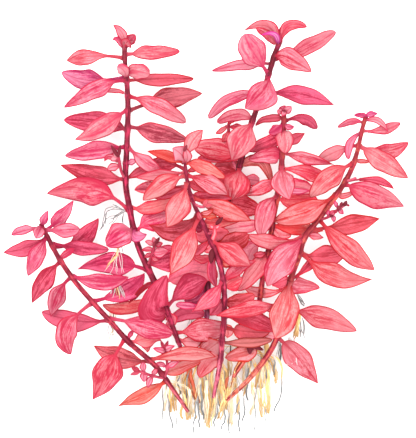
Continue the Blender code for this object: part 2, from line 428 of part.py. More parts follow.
def sweep(bm, path, ring):
    """Extrude a ring of points along a path and close both ends.

    ring(i) gives the flat (sideways, upward) points of station i, always the same number of them.
    """
    count = len(ring(0))
    circle = bmesh.ops.create_circle(bm, cap_ends=True, radius=MM, segments=count)
    corners = circle["verts"]
    face = corners[0].link_faces[0]
    for station, (point, direction) in enumerate(zip(path, directions(path))):
        if station == 1:
            grown = bmesh.ops.extrude_face_region(bm, geom=[face])
            face = next(e for e in grown["geom"] if isinstance(e, bmesh.types.BMFace))
        elif station:
            face = bmesh.ops.extrude_discrete_faces(bm, faces=[face])["faces"][0]
        corners = list(face.verts)
        side, up = level_frame(direction)
        for corner, (across, above) in zip(corners, ring(station)):
            corner.co = point + side * across + up * above
    bmesh.ops.recalc_face_normals(bm, faces=bm.faces)


def round_ring(radius, sides):
    """The flat points of a regular polygon with no corner straight to the side."""
    turns = [2 * pi * (number + 0.5) / sides for number in range(sides)]
    return [(radius * cos(turn), radius * sin(turn)) for turn in turns]


def mesh_object(name, bm):
    mesh = bpy.data.meshes.new(name)
    bm.to_mesh(mesh)
    bm.free()
    made = bpy.data.objects.new(name, mesh)
    bpy.context.scene.collection.objects.link(made)
    return made


def tube(name, path, radii, sides):
    """A closed round tube with its own radius at each point of its path."""
    bm = bmesh.new()
    sweep(bm, path, lambda station: round_ring(radii[station], sides))
    made = mesh_object(name, bm)
    made.data.shade_smooth()
    return made


def stem_axis(stem):
    """The centre line of a stem, from its growing tip to its cut or rooted end."""
    return smooth_path([place((x, y), height) for x, y, height in stem.path], STEM_STEP * MM)


def stem_radii(count):
    """Radii along a stem: thinner at its growing tip."""
    return [STEM_RADIUS * MM * min(1.0, GROWING_TIP + number / count) for number in range(count)]


def nearest(axis, plan):
    """The place and direction of the axis point nearest to a plan place."""
    spot = place(plan, 0)
    best = None
    for start, end in zip(axis, axis[1:]):
        run = end - start
        flat = run.xy.length_squared
        along = max(0.0, min(1.0, (spot - start).xy.dot(run.xy) / flat))
        point = start + run * along
        distance = (spot - point).xy.length
        if best is None or distance < best[0]:
            best = (distance, point, run.normalized())
    return best[1], best[2]


def blade_shape(along, widest):
    """Half width of a blade as a share of its greatest, from its stalk (0) to its tip (1)."""
    power = log(0.5) / log(widest)
    return max(0.0, sin(pi * along ** power)) ** BLADE_FULLNESS


def leaf_line(leaf, start):
    """A point of the leaf's centre line, as a function of the share of the way to its tip."""
    middle = place(leaf.mid, leaf.heights[0])
    tip = place(leaf.tip, leaf.heights[1])
    pull = 2 * middle - (start + tip) / 2

    def point(share):
        return start * (1 - share) ** 2 + pull * 2 * share * (1 - share) + tip * share ** 2
    return point


def leaf_start(leaf, axis, clearance):
    """Where a leaf's stalk starts: on its stem's skin plus a clearance, or inside it if negative."""
    root, run = nearest(axis, leaf.base)
    outward = place(leaf.mid, leaf.heights[0]) - root
    outward -= run * outward.dot(run)
    return root + outward.normalized() * (STEM_RADIUS + clearance) * MM


def leaf_mesh(bm, leaf, start, fused):
    """A leaf as a closed solid: its stalk, then its blade.

    A large leaf has a rhombic section folded at the middle, and a fused one a keeled section.
    """
    point = leaf_line(leaf, start)
    length = (place(leaf.tip, leaf.heights[1]) - start).length / MM
    shares = FUSED_STATIONS if fused else LARGE_STATIONS
    if length < SMALL_LEAF:
        shares = SMALL_STATIONS
    if length < TINY_LEAF:
        shares = TINY_STATIONS
    stations = [0.0] + [leaf.stalk + (1 - leaf.stalk) * share for share in shares]
    halves = [STALK_RADIUS] + [max(STALK_RADIUS if share < 0.5 else TIP_WIDTH / 2,
                                   leaf.width / 2 * blade_shape(share, leaf.widest))
                               for share in shares]
    path = [point(station) for station in stations]

    def section(station):
        half = halves[station] * MM
        thickness = TIP_THICKNESS if station == len(stations) - 1 else BLADE_THICKNESS
        thick = thickness / 2 * MM
        if fused:
            return [(half, thick), (-half, thick), (0, -thick)]
        lift = half * tan(FOLD)
        return [(half, lift), (0, thick), (-half, lift), (0, -thick)]
    sweep(bm, path, section)


def large_leaf(stem, leaf, axis):
    """One large leaf, a node of its own beside its stem."""
    bm = bmesh.new()
    leaf_mesh(bm, leaf, leaf_start(leaf, axis, NODE_GAP + STALK_RADIUS), fused=False)
    name = stem.name.replace("stem", "leaf_") + leaf.name
    made = mesh_object(name, bm)
    made.data.materials.append(paint(name, TINTS[leaf.tint], 0.5))
    return made


def small_leaf(leaf, axis):
    """One small leaf whose stalk starts inside its stem, for fusing to it."""
    bm = bmesh.new()
    leaf_mesh(bm, leaf, leaf_start(leaf, axis, -0.7 * STEM_RADIUS), fused=True)
    return mesh_object(leaf.name, bm)


def fuse(body, pieces):
    """Join pieces to a body as one solid and remove the pieces."""
    group = bpy.data.collections.new("fused pieces")
    for piece in pieces:
        group.objects.link(piece)
    union = body.modifiers.new("Fuse", "BOOLEAN")
    union.operation = "UNION"
    union.operand_type = "COLLECTION"
    union.collection = group
    union.solver = "EXACT"
    shape = body.evaluated_get(bpy.context.evaluated_depsgraph_get())
    joined = bpy.data.meshes.new_from_object(shape)
    body.modifiers.remove(union)
    body.data = joined
    for piece in pieces:
        bpy.data.objects.remove(piece, do_unlink=True)
    bpy.data.collections.remove(group)


def shoot_axis(points):
    """The centre line of a side shoot, from its stem to its tip."""
    return smooth_path([place((x, y), height) for x, y, height in points], STEM_STEP * MM / 2)


def leafy_stem(stem):
    """A stem with its side shoots and small leaves fused to it."""
    axis = stem_axis(stem)
    body = tube(stem.name, axis, stem_radii(len(axis)), STEM_SIDES)
    shoots = [shoot_axis(points) for points in stem.shoots]
    pieces = []
    for number, path in enumerate(shoots):
        radii = [SHOOT_RADIUS * MM] * len(path)
        pieces.append(tube(f"shoot {number}", path, radii, SHOOT_SIDES))
    for leaf in stem.small_leaves:
        pieces.append(small_leaf(leaf, nearest_axis(leaf, axis, shoots)))
    fuse(body, pieces)
    body.data.materials.clear()
    body.data.materials.append(paint(stem.name, STEM_COLOUR, 0.45))
    return axis


def nearest_axis(leaf, axis, shoots):
    """The axis that a leaf grows from: the stem's or a side shoot's, whichever its base is nearer."""
    spot = place(leaf.base, 0)

    def distance(path):
        return min((spot - point).xy.length for point in smooth_path(path, MM))
    return min([axis, *shoots], key=distance)


def root_clump(number, top, tip, radius):
    """A tapering clump of root strands that rests on the surface."""
    middle = ((top[0] + tip[0]) / 2, (top[1] + tip[1]) / 2)
    points = [place(top, ROOT_TOP_HEIGHT), place(middle, radius + 1), place(tip, ROOT_TIP_HEIGHT)]
    path = smooth_path(points, ROOT_STEP * MM)
    last = len(path) - 1
    radii = [MM * (radius + (ROOT_TIP_RADIUS - radius) * (number / last) ** 2)
             for number in range(last + 1)]
    return tube(f"root clump {number}", path, radii, ROOT_SIDES)


def root_mass():
    """The root mass: a flat crown under the stem bases with clumps of strands fused to it."""
    centre, size, height = ROOT_CROWN
    bm = bmesh.new()
    shape = Matrix.Translation(place(centre, height))
    shape @= Matrix.Diagonal((size[0] * PLAN_UNIT, size[1] * PLAN_UNIT, height * MM, 1))
    bmesh.ops.create_uvsphere(bm, u_segments=9, v_segments=5, radius=1, matrix=shape)
    crown = mesh_object("root_mass", bm)
    crown.data.shade_smooth()
    clumps = [root_clump(number, *clump) for number, clump in enumerate(ROOT_CLUMPS)]
    fuse(crown, clumps)
    crown.data.materials.clear()
    crown.data.materials.append(paint("root_mass", ROOT_COLOUR, 0.7))


def root_tuft(name, strands):
    """A tuft of water roots that hang from one point."""
    tubes = []
    for strand in strands:
        path = smooth_path([place((x, y), height) for x, y, height in strand], ROOT_STEP * MM)
        last = len(path) - 1
        radii = [TUFT_RADIUS * MM * (1 - 0.5 * number / last) for number in range(last + 1)]
        tubes.append(tube(name, path, radii, ROOT_SIDES))
    fuse(tubes[0], tubes[1:])
    tubes[0].data.materials.clear()
    tubes[0].data.materials.append(paint(name, ROOT_COLOUR, 0.7))


def main():
    clear_scene()
    for stem in STEMS:
        axis = leafy_stem(stem)
        for leaf in stem.leaves:
            large_leaf(stem, leaf, axis)
    root_mass()
    for name, strands in ROOT_TUFTS.items():
        root_tuft(name, strands)


if __name__ == "__main__":
    main()
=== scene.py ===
"""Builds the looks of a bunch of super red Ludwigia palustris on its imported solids.

Six leafy stems lie side by side on a surface with their roots. Each leaf is a thin veined blade on its
stalk, each stem a tube with swollen nodes, and the roots are bundles of fine strands.

Places are given on the plan, which is the bunch seen from above: x to the right and y down, in plan
units of PLAN_UNIT. Heights above the surface, widths and thicknesses are in millimetres.
"""

import logging
from dataclasses import dataclass
from enum import Enum
from math import cos, exp, inf, log, pi, radians, sin, tan
from random import Random
from typing import Any, Callable

import bmesh
import bpy
from mathutils import Matrix, Vector

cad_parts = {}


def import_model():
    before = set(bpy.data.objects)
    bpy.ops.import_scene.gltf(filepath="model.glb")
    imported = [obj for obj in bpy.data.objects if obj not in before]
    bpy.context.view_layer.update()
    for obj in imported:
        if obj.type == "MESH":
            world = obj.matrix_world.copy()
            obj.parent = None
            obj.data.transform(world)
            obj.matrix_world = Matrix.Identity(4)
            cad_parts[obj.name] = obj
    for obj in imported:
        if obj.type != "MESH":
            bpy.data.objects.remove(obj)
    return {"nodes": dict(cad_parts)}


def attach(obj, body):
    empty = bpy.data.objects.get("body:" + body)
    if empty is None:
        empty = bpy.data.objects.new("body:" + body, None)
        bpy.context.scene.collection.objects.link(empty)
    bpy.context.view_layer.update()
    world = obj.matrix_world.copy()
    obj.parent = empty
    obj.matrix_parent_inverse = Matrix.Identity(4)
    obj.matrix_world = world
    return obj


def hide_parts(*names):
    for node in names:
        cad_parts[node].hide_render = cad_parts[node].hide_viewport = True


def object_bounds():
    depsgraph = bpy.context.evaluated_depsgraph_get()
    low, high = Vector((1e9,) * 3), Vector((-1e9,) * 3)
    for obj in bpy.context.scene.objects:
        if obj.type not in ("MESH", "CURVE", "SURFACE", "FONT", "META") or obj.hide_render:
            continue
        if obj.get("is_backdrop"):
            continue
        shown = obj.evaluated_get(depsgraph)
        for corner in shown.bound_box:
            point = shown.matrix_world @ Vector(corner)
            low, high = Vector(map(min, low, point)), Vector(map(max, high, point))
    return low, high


Plan = tuple[float, float]
Spot = tuple[float, float, float]
Colour = tuple[float, float, float]
Ring = list[tuple[float, float]]

MM = 0.001
PLAN_UNIT = 0.5 * MM
PLAN_CENTRE = (206.2, 226.5)
UP = Vector((0, 0, 1))

# Vertices nearer than this are merged, on a tube's seam and where a blade runs to a point
SEAM_GAP = 0.0001 * MM
POINT_GAP = 0.001 * MM

# Stems and side shoots: their radii, and the spacing and sides of their sections
STEM_RADIUS = 1.3
SHOOT_RADIUS = 0.7
STEM_STEP = 1.6
SHOOT_STEP = 1.0
STEM_SIDES = 14
SHOOT_SIDES = 8

# The length in which a stem would thicken from nothing to its full radius, and how its lower end slims
THICKENING_LENGTH = 120
END_SLIMMING = 0.35
END_LENGTH = 25

# A stem swells at each node, and is dark a little above it
NODE_SWELLING = 0.22
NODE_LENGTH = 1.3
PATCH_RISE = 3
PATCH_LENGTH = 2.2

# The leaf blade, with the fold along its midrib in degrees, and the veins pressed into it
LEAF_THICKNESS = 0.32
LEAF_MARGIN = 0.06
LEAF_FOLD = 9.0
SIDE_VEINS = 7
VEIN_SLANT = 1.1
VEIN_RELIEF = 0.09
FULL_RELIEF_HALF_WIDTH = 3

# The outline of a blade: waves along each margin, how soon its narrowing goes from taper to blunt, and
# how far the stalk's width runs into it
MARGIN_RIPPLE = 0.05
MARGIN_WAVES = 2.2
LEFT_WAVE_START = 0.13
RIGHT_WAVE_START = 0.61
TIP_SHAPING = 1.6
STALK_SPREAD = 0.8
STALK_FADING = 5

# What chance gives each leaf: a roll in degrees, a curl and a ruffle as shares of its half width, and
# its own number
ROLL_STRAY = 7
CURL = (0.10, 0.24)
RUFFLE = (0.03, 0.09)
RUFFLE_TURN = 9
LEFT_RUFFLE_START = 2
SEEDS = (0, 90)

# The stalk, which starts inside its stem, flares there and runs on under the blade as its rib
STALK_DEPTH = 0.6
STALK_HALF_WIDTH = 1.0
STALK_HALF_HEIGHT = 0.5
FULL_STALK_LEAF_WIDTH = 7
FLARE = 0.5
FLARE_LENGTH = 0.8
RIB_TIP = 0.1
RIB_END = 0.97
RIB_SLIMMING = 0.8
RIB_NARROWING = 0.45
RIB_DROP = 0.75
RIB_SINKING = 0.2
RIB_SIDES = 8
RIB_COLOUR_HALF_WIDTH = 0.4

# share ** 2 * (1 - share), which the S bend of a leaf follows, is at most one part in this
SWAY_PEAK = 27 / 4

# The margin that the leaf pattern is told of where it should paint none
NO_MARGIN = 9.0

# A bud: its mesh, its half length as a share of its run, and how much slimmer its tip is
BUD_SIDES = 12
BUD_RINGS = 8
BUD_STRETCH = 0.56
BUD_TAPER = 0.35

# Root strands: their sections, how their radius and winding vary, the radius of a hair, and the least
# gap below them
STRAND_STEP = 2.0
STRAND_SIDES = 5
LEAST_STRAND_STEPS = 4
STRAND_THICKNESSES = (0.7, 1.25)
STRAND_FLATTENING = 0.6
STRAND_WINDINGS = (1.2, 3.2)
WINDING_LENGTH = 30
SECOND_WINDING = 0.35
SECOND_WINDING_TURN = 5.1
STRAND_TIP_SLIMMING = 0.25
HAIR_RADIUS = 0.1
FLOOR_GAP = 0.05

# The share of the deep or the light colour on a leaf whose darkness is 1 or -1
TONE_DEPTH = 0.7
BUMP_STRENGTH = 0.6
# The pale pink streaked along a stem's lower end, and the distance over which that end's colour comes in
END_STREAK_PINK = (0.4, 0.22, 0.25, 1.0)
ENDING_LENGTH = 18.0

log_line = logging.getLogger("ludwigia")


def place(plan: Plan, height: float) -> Vector:
    """Turn a plan place and a height into a point.

    Args:
        plan: Place on the plan, in plan units.
        height: Height above the surface in millimetres.

    Returns:
        The point in metres.
    """
    return Vector(((plan[0] - PLAN_CENTRE[0]) * PLAN_UNIT,
                   (PLAN_CENTRE[1] - plan[1]) * PLAN_UNIT,
                   height * MM))


def level_frame(direction: Vector) -> tuple[Vector, Vector]:
    """Find the level direction to the left of a run and the normal above it."""
    side = UP.cross(direction).normalized()
    return side, direction.cross(side).normalized()


class Line:
    """A smooth line through some points, as closely spaced points with their distances."""

    def __init__(self, points: list[Vector], step: float, radius: float = STEM_RADIUS) -> None:
        """Lay a smooth line through the points.

        Args:
            points: Points in metres that the line passes through.
            step: Distance in millimetres between the points that stand for the line.
            radius: Radius in millimetres of the stem or shoot that the line carries.
        """
        self.radius = radius
        ends = [2 * points[0] - points[1], *points, 2 * points[-1] - points[-2]]
        self.points: list[Vector] = []
        for before, start, end, after in zip(ends, ends[1:], ends[2:], ends[3:]):
            count = max(1, round((end - start).length / (step * MM)))
            for number in range(count):
                t = number / count
                self.points.append(0.5 * (2 * start + (end - before) * t
                                          + (2 * before - 5 * start + 4 * end - after) * t * t
                                          + (3 * start - before - 3 * end + after) * t ** 3))
        self.points.append(points[-1])
        self.distances = [0.0]
        for start, end in zip(self.points, self.points[1:]):
            self.distances.append(self.distances[-1] + (end - start).length / MM)

    def direction(self, number: int) -> Vector:
        """Find the direction of travel at one of the points."""
        last = len(self.points) - 1
        return (self.points[min(number + 1, last)] - self.points[max(number - 1, 0)]).normalized()

    def nearest(self, plan: Plan) -> int:
        """Find the number of the point that is nearest to a plan place, seen from above."""
        spot = place(plan, 0).xy
        return min(range(len(self.points)), key=lambda n: (self.points[n].xy - spot).length_squared)

    def gap(self, plan: Plan) -> float:
        """Find how far a plan place is from the line, seen from above, in metres."""
        return (self.points[self.nearest(plan)].xy - place(plan, 0).xy).length

    def humps(self, nodes: list[float], rise: float, length: float) -> list[float]:
        """Find a value for each point: 1 at a rise before a node, falling off over a length."""
        return [max([exp(-((way - node + rise) / length) ** 2) for node in nodes], default=0.0)
                for way in self.distances]


class Graph:
    """Places and links the nodes of one material or of one shader node group."""

    def __init__(self, tree: bpy.types.NodeTree) -> None:
        """Start on an emptied node tree."""
        tree.nodes.clear()
        self.tree = tree

    def feed(self, socket: bpy.types.NodeSocket, value: Any) -> None:
        """Link a socket to an input, or set the input to a plain value.

        Args:
            socket: The input socket.
            value: An output socket, or the number or colour that the input is set to.
        """
        if isinstance(value, bpy.types.NodeSocket):
            self.tree.links.new(value, socket)
        else:
            socket.default_value = value

    def node(self, kind: str, inputs: dict[Any, Any] | None = None, **settings: Any) -> bpy.types.Node:
        """Add a shader node.

        Args:
            kind: Type of the node, without ShaderNode before it.
            inputs: What is fed to its inputs, by their names or numbers.
            settings: The node's own settings, which come before its inputs.

        Returns:
            The node.
        """
        made = self.tree.nodes.new(f"ShaderNode{kind}")
        for name, value in settings.items():
            setattr(made, name, value)
        for key, value in (inputs or {}).items():
            self.feed(made.inputs[key], value)
        return made

    def attribute(self, name: str) -> tuple[Any, ...]:
        """Read the three parts of a vector attribute of the mesh."""
        read = self.node("Attribute", attribute_name=name)
        return tuple(self.node("SeparateXYZ", {0: read.outputs["Vector"]}).outputs)

    def math(self, operation: str, first: Any, second: Any = 0.0, clamp: bool = False) -> Any:
        """Work out one operation on two values."""
        return self.node("Math", {0: first, 1: second}, operation=operation, use_clamp=clamp).outputs[0]

    def scaled(self, value: Any, factor: Any) -> Any:
        """Multiply two values."""
        return self.math("MULTIPLY", value, factor)

    def between(self, value: Any, low: float, high: float) -> Any:
        """Rise smoothly from 0 where the value is low to 1 where it is high."""
        inputs = {0: value, 1: low, 2: high}
        return self.node("MapRange", inputs, interpolation_type="SMOOTHSTEP").outputs[0]

    def mix(self, share: Any, first: Any, second: Any) -> Any:
        """Mix two colours by a share from 0 to 1."""
        return self.node("Mix", {0: share, 6: first, 7: second}, data_type="RGBA").outputs[2]

    def stain(self, colour: Any, paint: Any, share: float, value: Any, low: float, high: float) -> Any:
        """Stain a colour with a share of a paint, where the value goes from low to high."""
        return self.mix(self.scaled(self.between(value, low, high), share), colour, paint)

    def noise(self, across: Any, along: Any, seed: Any, detail: float = 2.0) -> Any:
        """Read a noise at three coordinates, in units of its own grain."""
        where = self.node("CombineXYZ", {0: across, 1: along, 2: seed}).outputs[0]
        return self.node("TexNoise", {"Vector": where, "Scale": 1.0, "Detail": detail}).outputs["Fac"]


class Pattern(Graph):
    """The nodes of a shader node group that puts out a colour, a roughness and a height."""

    OUTPUTS = {"Color": "Color", "Roughness": "Float", "Height": "Float"}

    def __init__(self, name: str, inputs: dict[str, str]) -> None:
        """Start the group and make its sockets.

        Args:
            name: Name of the group.
            inputs: Each input's name and socket type.
        """
        tree = bpy.data.node_groups.new(name, "ShaderNodeTree")
        for way, sockets in (("INPUT", inputs), ("OUTPUT", self.OUTPUTS)):
            for title, kind in sockets.items():
                tree.interface.new_socket(title, in_out=way, socket_type=f"NodeSocket{kind}")
        super().__init__(tree)
        self.entry = tree.nodes.new("NodeGroupInput").outputs

    def give(self, *values: Any) -> bpy.types.NodeTree:
        """Feed the group's three outputs.

        Args:
            values: The colour, the roughness and the height.

        Returns:
            The node group.
        """
        leave = self.tree.nodes.new("NodeGroupOutput")
        for title, value in zip(self.OUTPUTS, values):
            self.feed(leave.inputs[title], value)
        return self.tree


def leaf_pattern() -> bpy.types.NodeTree:
    """Make the group that paints a blade: wash, streaks, midrib, side veins, margin and stalk.

    It reads leaf_place (across and along in millimetres, and the leaf's own number), leaf_share
    (-1 to 1 across, 0 to 1 along, and millimetres from the margin) and leaf_tone (darkness, which
    holds painted shade, warmth, and brightness: painted light on leaves, a darker value on buds).

    Returns:
        The node group.
    """
    graph = Pattern("leaf_pattern", {name: "Color" for name in ("Light", "Body", "Deep", "Edge")})
    light, body, deep, edge = (graph.entry[name] for name in ("Light", "Body", "Deep", "Edge"))
    across, along, seed = graph.attribute("leaf_place")
    share, length, margin = graph.attribute("leaf_share")
    darkness, warmth, glow = graph.attribute("leaf_tone")

    wash = graph.noise(graph.scaled(across, 0.16), graph.scaled(along, 0.09), seed)
    colour = graph.mix(graph.between(wash, 0.42, 0.62), body, light)
    streak = graph.noise(graph.scaled(share, 3.4), graph.scaled(along, 0.07), seed, 3.0)
    colour = graph.stain(colour, deep, 0.95, streak, 0.5, 0.59)
    colour = graph.stain(colour, light, 0.85, streak, 0.48, 0.38)
    fine = graph.noise(graph.scaled(share, 11.0), graph.scaled(along, 0.16), seed)
    colour = graph.stain(colour, deep, 0.8, fine, 0.52, 0.62)
    colour = graph.stain(colour, light, 0.7, fine, 0.47, 0.36)
    grain = graph.noise(graph.scaled(across, 1.1), graph.scaled(along, 0.9), seed)
    colour = graph.stain(colour, deep, 0.5, grain, 0.5, 0.68)
    stroke = graph.math("ABSOLUTE", graph.math("SUBTRACT", streak, 0.5))
    colour = graph.stain(colour, deep, 0.6, stroke, 0.012, 0.0)

    # Painted light and shade: the darkness, partly the leaf's own tone and partly painted shade, darkens the
    # blade towards the deep colour or lightens it towards the light one
    colour = graph.mix(graph.math("MULTIPLY", darkness, TONE_DEPTH, clamp=True), colour, deep)
    colour = graph.mix(graph.math("MULTIPLY", darkness, -TONE_DEPTH, clamp=True), colour, light)

    aside = graph.math("ABSOLUTE", share)
    turn = graph.math("SUBTRACT", graph.scaled(length, SIDE_VEINS), graph.scaled(aside, VEIN_SLANT))
    wave = graph.math("COSINE", graph.scaled(turn, 2 * pi))
    veins = graph.scaled(graph.between(wave, 0.9, 1.0), graph.between(margin, 0.2, 1.2))
    colour = graph.mix(graph.scaled(veins, 0.16), colour, deep)
    midrib = graph.between(graph.math("ABSOLUTE", across), 0.42, 0.12)
    colour = graph.mix(graph.scaled(midrib, 0.5), colour, deep)
    # Darker towards the stalk end: partly the stalk's own darker colour, partly painted shade at the base of
    # the blade
    colour = graph.stain(colour, deep, 0.6, length, 0.2, 0.0)
    colour = graph.stain(colour, edge, 0.95, margin, 0.8, 0.4)
    # Painted light: the brightness value lifts leaves that lie in shade, and on dark buds lowers their value
    hue = graph.math("ADD", 0.5, graph.scaled(warmth, 0.03))
    turned = {"Hue": hue, "Value": graph.math("ADD", 1.0, glow), "Color": colour}
    colour = graph.node("HueSaturation", turned).outputs["Color"]

    roughness = graph.math("ADD", 0.5, graph.scaled(wash, 0.2))
    height = graph.math("SUBTRACT", graph.scaled(fine, 0.4), graph.math("ADD", midrib, veins))
    return graph.give(colour, roughness, height)


def stem_pattern() -> bpy.types.NodeTree:
    """Make the group that paints a stem: streaks, dark patches above its nodes and a paler lower end.

    It reads stem_place: turns around the stem, millimetres along it, and 1 in a dark patch.

    Returns:
        The node group.
    """
    graph = Pattern("stem_pattern", {"Top": "Color", "Body": "Color", "End": "Color",
                                     "Deep": "Color", "End starts": "Float"})
    top, body, end, deep, starts = (graph.entry[name] for name in
                                    ("Top", "Body", "End", "Deep", "End starts"))
    around, along, patch = graph.attribute("stem_place")
    turn = graph.scaled(around, 2 * pi)
    ridges = graph.noise(graph.scaled(graph.math("COSINE", turn), 1.8), graph.scaled(along, 0.12),
                         graph.scaled(graph.math("SINE", turn), 1.8), 3.0)
    blotch = graph.noise(graph.scaled(around, 3.0), graph.scaled(along, 0.5), 4.0, 3.0)
    colour = graph.mix(graph.between(along, 70.0, 10.0), body, top)
    ending = graph.math("DIVIDE", graph.math("SUBTRACT", along, starts), ENDING_LENGTH, clamp=True)
    colour = graph.mix(ending, colour, end)
    # Pale pink streaks along the ridges of the stem's lower end
    pale_streaks = graph.math("MULTIPLY", ending, graph.scaled(graph.between(ridges, 0.52, 0.42), 0.4))
    colour = graph.mix(pale_streaks, colour, END_STREAK_PINK)
    colour = graph.stain(colour, end, 0.65, ridges, 0.46, 0.36)
    colour = graph.stain(colour, deep, 0.95, ridges, 0.46, 0.58)
    colour = graph.stain(colour, end, 0.45, blotch, 0.52, 0.64)
    colour = graph.stain(colour, deep, 0.6, blotch, 0.48, 0.36)
    colour = graph.mix(graph.scaled(patch, 0.8), colour, deep)
    return graph.give(colour, graph.math("ADD", 0.42, graph.scaled(blotch, 0.2)), ridges)


def root_pattern() -> bpy.types.NodeTree:
    """Make the group that paints root strands: mottled along their length, with their own tip colour.

    It reads root_place: share of the way to the tip, millimetres along, and the strand's own number.

    Returns:
        The node group.
    """
    graph = Pattern("root_pattern", {name: "Color" for name in ("Body", "Tip", "Deep")})
    body, tip, deep = (graph.entry[name] for name in ("Body", "Tip", "Deep"))
    share, along, seed = graph.attribute("root_place")
    mottle = graph.noise(seed, graph.scaled(along, 0.22), graph.scaled(seed, 1.7), 3.0)
    # From the upper part's colour to the tip's; the upper part's colour holds painted light against the
    # shade inside the mass
    colour = graph.mix(graph.between(share, 0.35, 1.0), body, tip)
    colour = graph.stain(colour, deep, 0.6, mottle, 0.5, 0.66)
    colour = graph.stain(colour, tip, 0.5, mottle, 0.45, 0.3)
    return graph.give(colour, graph.math("ADD", 0.5, graph.scaled(mottle, 0.25)), mottle)


@dataclass(frozen=True)
class Finish:
    """A finish that one of the patterns paints with its own colours, with its gloss and relief."""

    name: str
    slot: str
    pattern: Callable[[], bpy.types.NodeTree]
    values: dict[str, Any]
    gloss: float
    relief: float

    def material(self) -> bpy.types.Material:
        """Make the material, or find it if it has been made.

        Returns:
            The material, with a Principled shader that the pattern's group feeds.
        """
        found = bpy.data.materials.get(self.name)
        if found:
            return found
        made = bpy.data.materials.new(self.name)
        made.use_nodes = True
        graph = Graph(made.node_tree)
        tree = bpy.data.node_groups.get(self.pattern.__name__) or self.pattern()
        values = {title: (*value, 1.0) if isinstance(value, tuple) else value
                  for title, value in self.values.items()}
        painted = graph.node("Group", values, node_tree=tree).outputs
        bump = graph.node("Bump", {"Strength": BUMP_STRENGTH, "Distance": self.relief * MM,
                                   "Height": painted["Height"]})
        shader = graph.node("BsdfPrincipled", {"Base Color": painted["Color"],
                                               "Roughness": painted["Roughness"],
                                               "Normal": bump.outputs["Normal"],
                                               "Specular IOR Level": self.gloss})
        graph.node("OutputMaterial", {"Surface": shader.outputs["BSDF"]})
        return made


def leaf_finish(name: str, slot: str, light: Colour, body: Colour, deep: Colour, edge: Colour) -> Finish:
    """Make a leaf finish from its four colours."""
    values = {"Light": light, "Body": body, "Deep": deep, "Edge": edge}
    return Finish(f"{name}_leaf_skin", slot, leaf_pattern, values, gloss=0.08, relief=0.06)


def stem_finish(name: str, top: Colour, body: Colour, end: Colour, deep: Colour, starts: float) -> Finish:
    """Make a stem finish; its lower end's colour starts at a distance in millimetres from the tip."""
    values = {"Top": top, "Body": body, "End": end, "Deep": deep, "End starts": starts}
    return Finish(f"{name}_stem_skin", "stem_skin", stem_pattern, values, gloss=0.08, relief=0.08)


def root_finish(name: str, body: Colour, tip: Colour, deep: Colour) -> Finish:
    """Make a root finish from its three colours."""
    values = {"Body": body, "Tip": tip, "Deep": deep}
    return Finish(f"{name}_root_fibre", "root_fibre", root_pattern, values, gloss=0.25, relief=0.05)


class Tint(Enum):
    """The colours of the leaves."""

    ROSE = leaf_finish("rose", "leaf_rose", (0.358, 0.123, 0.152), (0.329, 0.038, 0.074),
                       (0.231, 0.009, 0.028), (0.265, 0.006, 0.023))
    SALMON = leaf_finish("salmon", "leaf_salmon", (0.347, 0.137, 0.144), (0.331, 0.06, 0.076),
                         (0.275, 0.019, 0.035), (0.275, 0.009, 0.02))
    CORAL = leaf_finish("coral", "leaf_coral", (0.354, 0.113, 0.126), (0.331, 0.038, 0.062),
                        (0.251, 0.01, 0.021), (0.263, 0.006, 0.016))
    ORANGE = leaf_finish("orange", "leaf_orange", (0.377, 0.119, 0.11), (0.377, 0.05, 0.052),
                         (0.294, 0.015, 0.018), (0.281, 0.007, 0.01))
    CRIMSON = leaf_finish("crimson", "leaf_crimson", (0.377, 0.058, 0.094), (0.306, 0.02, 0.047),
                          (0.175, 0.006, 0.018), (0.241, 0.005, 0.016))
    MAUVE = leaf_finish("mauve", "leaf_mauve", (0.377, 0.088, 0.114), (0.323, 0.038, 0.06),
                        (0.145, 0.011, 0.022), (0.281, 0.013, 0.025))
    VIOLET = leaf_finish("violet", "leaf_violet", (0.377, 0.112, 0.165), (0.346, 0.028, 0.092),
                         (0.189, 0.007, 0.039), (0.264, 0.007, 0.039))
    OLIVE = leaf_finish("olive", "leaf_mauve", (0.364, 0.094, 0.094), (0.291, 0.05, 0.051),
                        (0.138, 0.022, 0.017), (0.189, 0.014, 0.01))

# Each tint and each fibre by its own name, for the rows
ROSE, SALMON, CORAL, ORANGE, CRIMSON, MAUVE, VIOLET, OLIVE = Tint


class Fibre(Enum):
    """The colours of the roots."""

    # A strand's upper part takes the first colour and its tip the second. The gold, pale and grey upper
    # parts are lighter than the strands' own colour: painted light that lifts them in the shade of the mass.
    GOLD = root_finish("gold", (0.85, 0.56, 0.23), (0.42, 0.255, 0.105), (0.5, 0.24, 0.07))
    PALE = root_finish("pale", (0.85, 0.68, 0.46), (0.45, 0.355, 0.24), (0.5, 0.32, 0.16))
    WHITE = root_finish("white", (0.44, 0.38, 0.38), (0.44, 0.4, 0.4), (0.43, 0.25, 0.25))
    GREY = root_finish("grey", (0.22, 0.215, 0.21), (0.1, 0.1, 0.105), (0.07, 0.07, 0.07))
    RED = root_finish("red", (0.43, 0.07, 0.032), (0.45, 0.15, 0.07), (0.34, 0.035, 0.02))

GOLD, PALE, WHITE, GREY, RED = Fibre

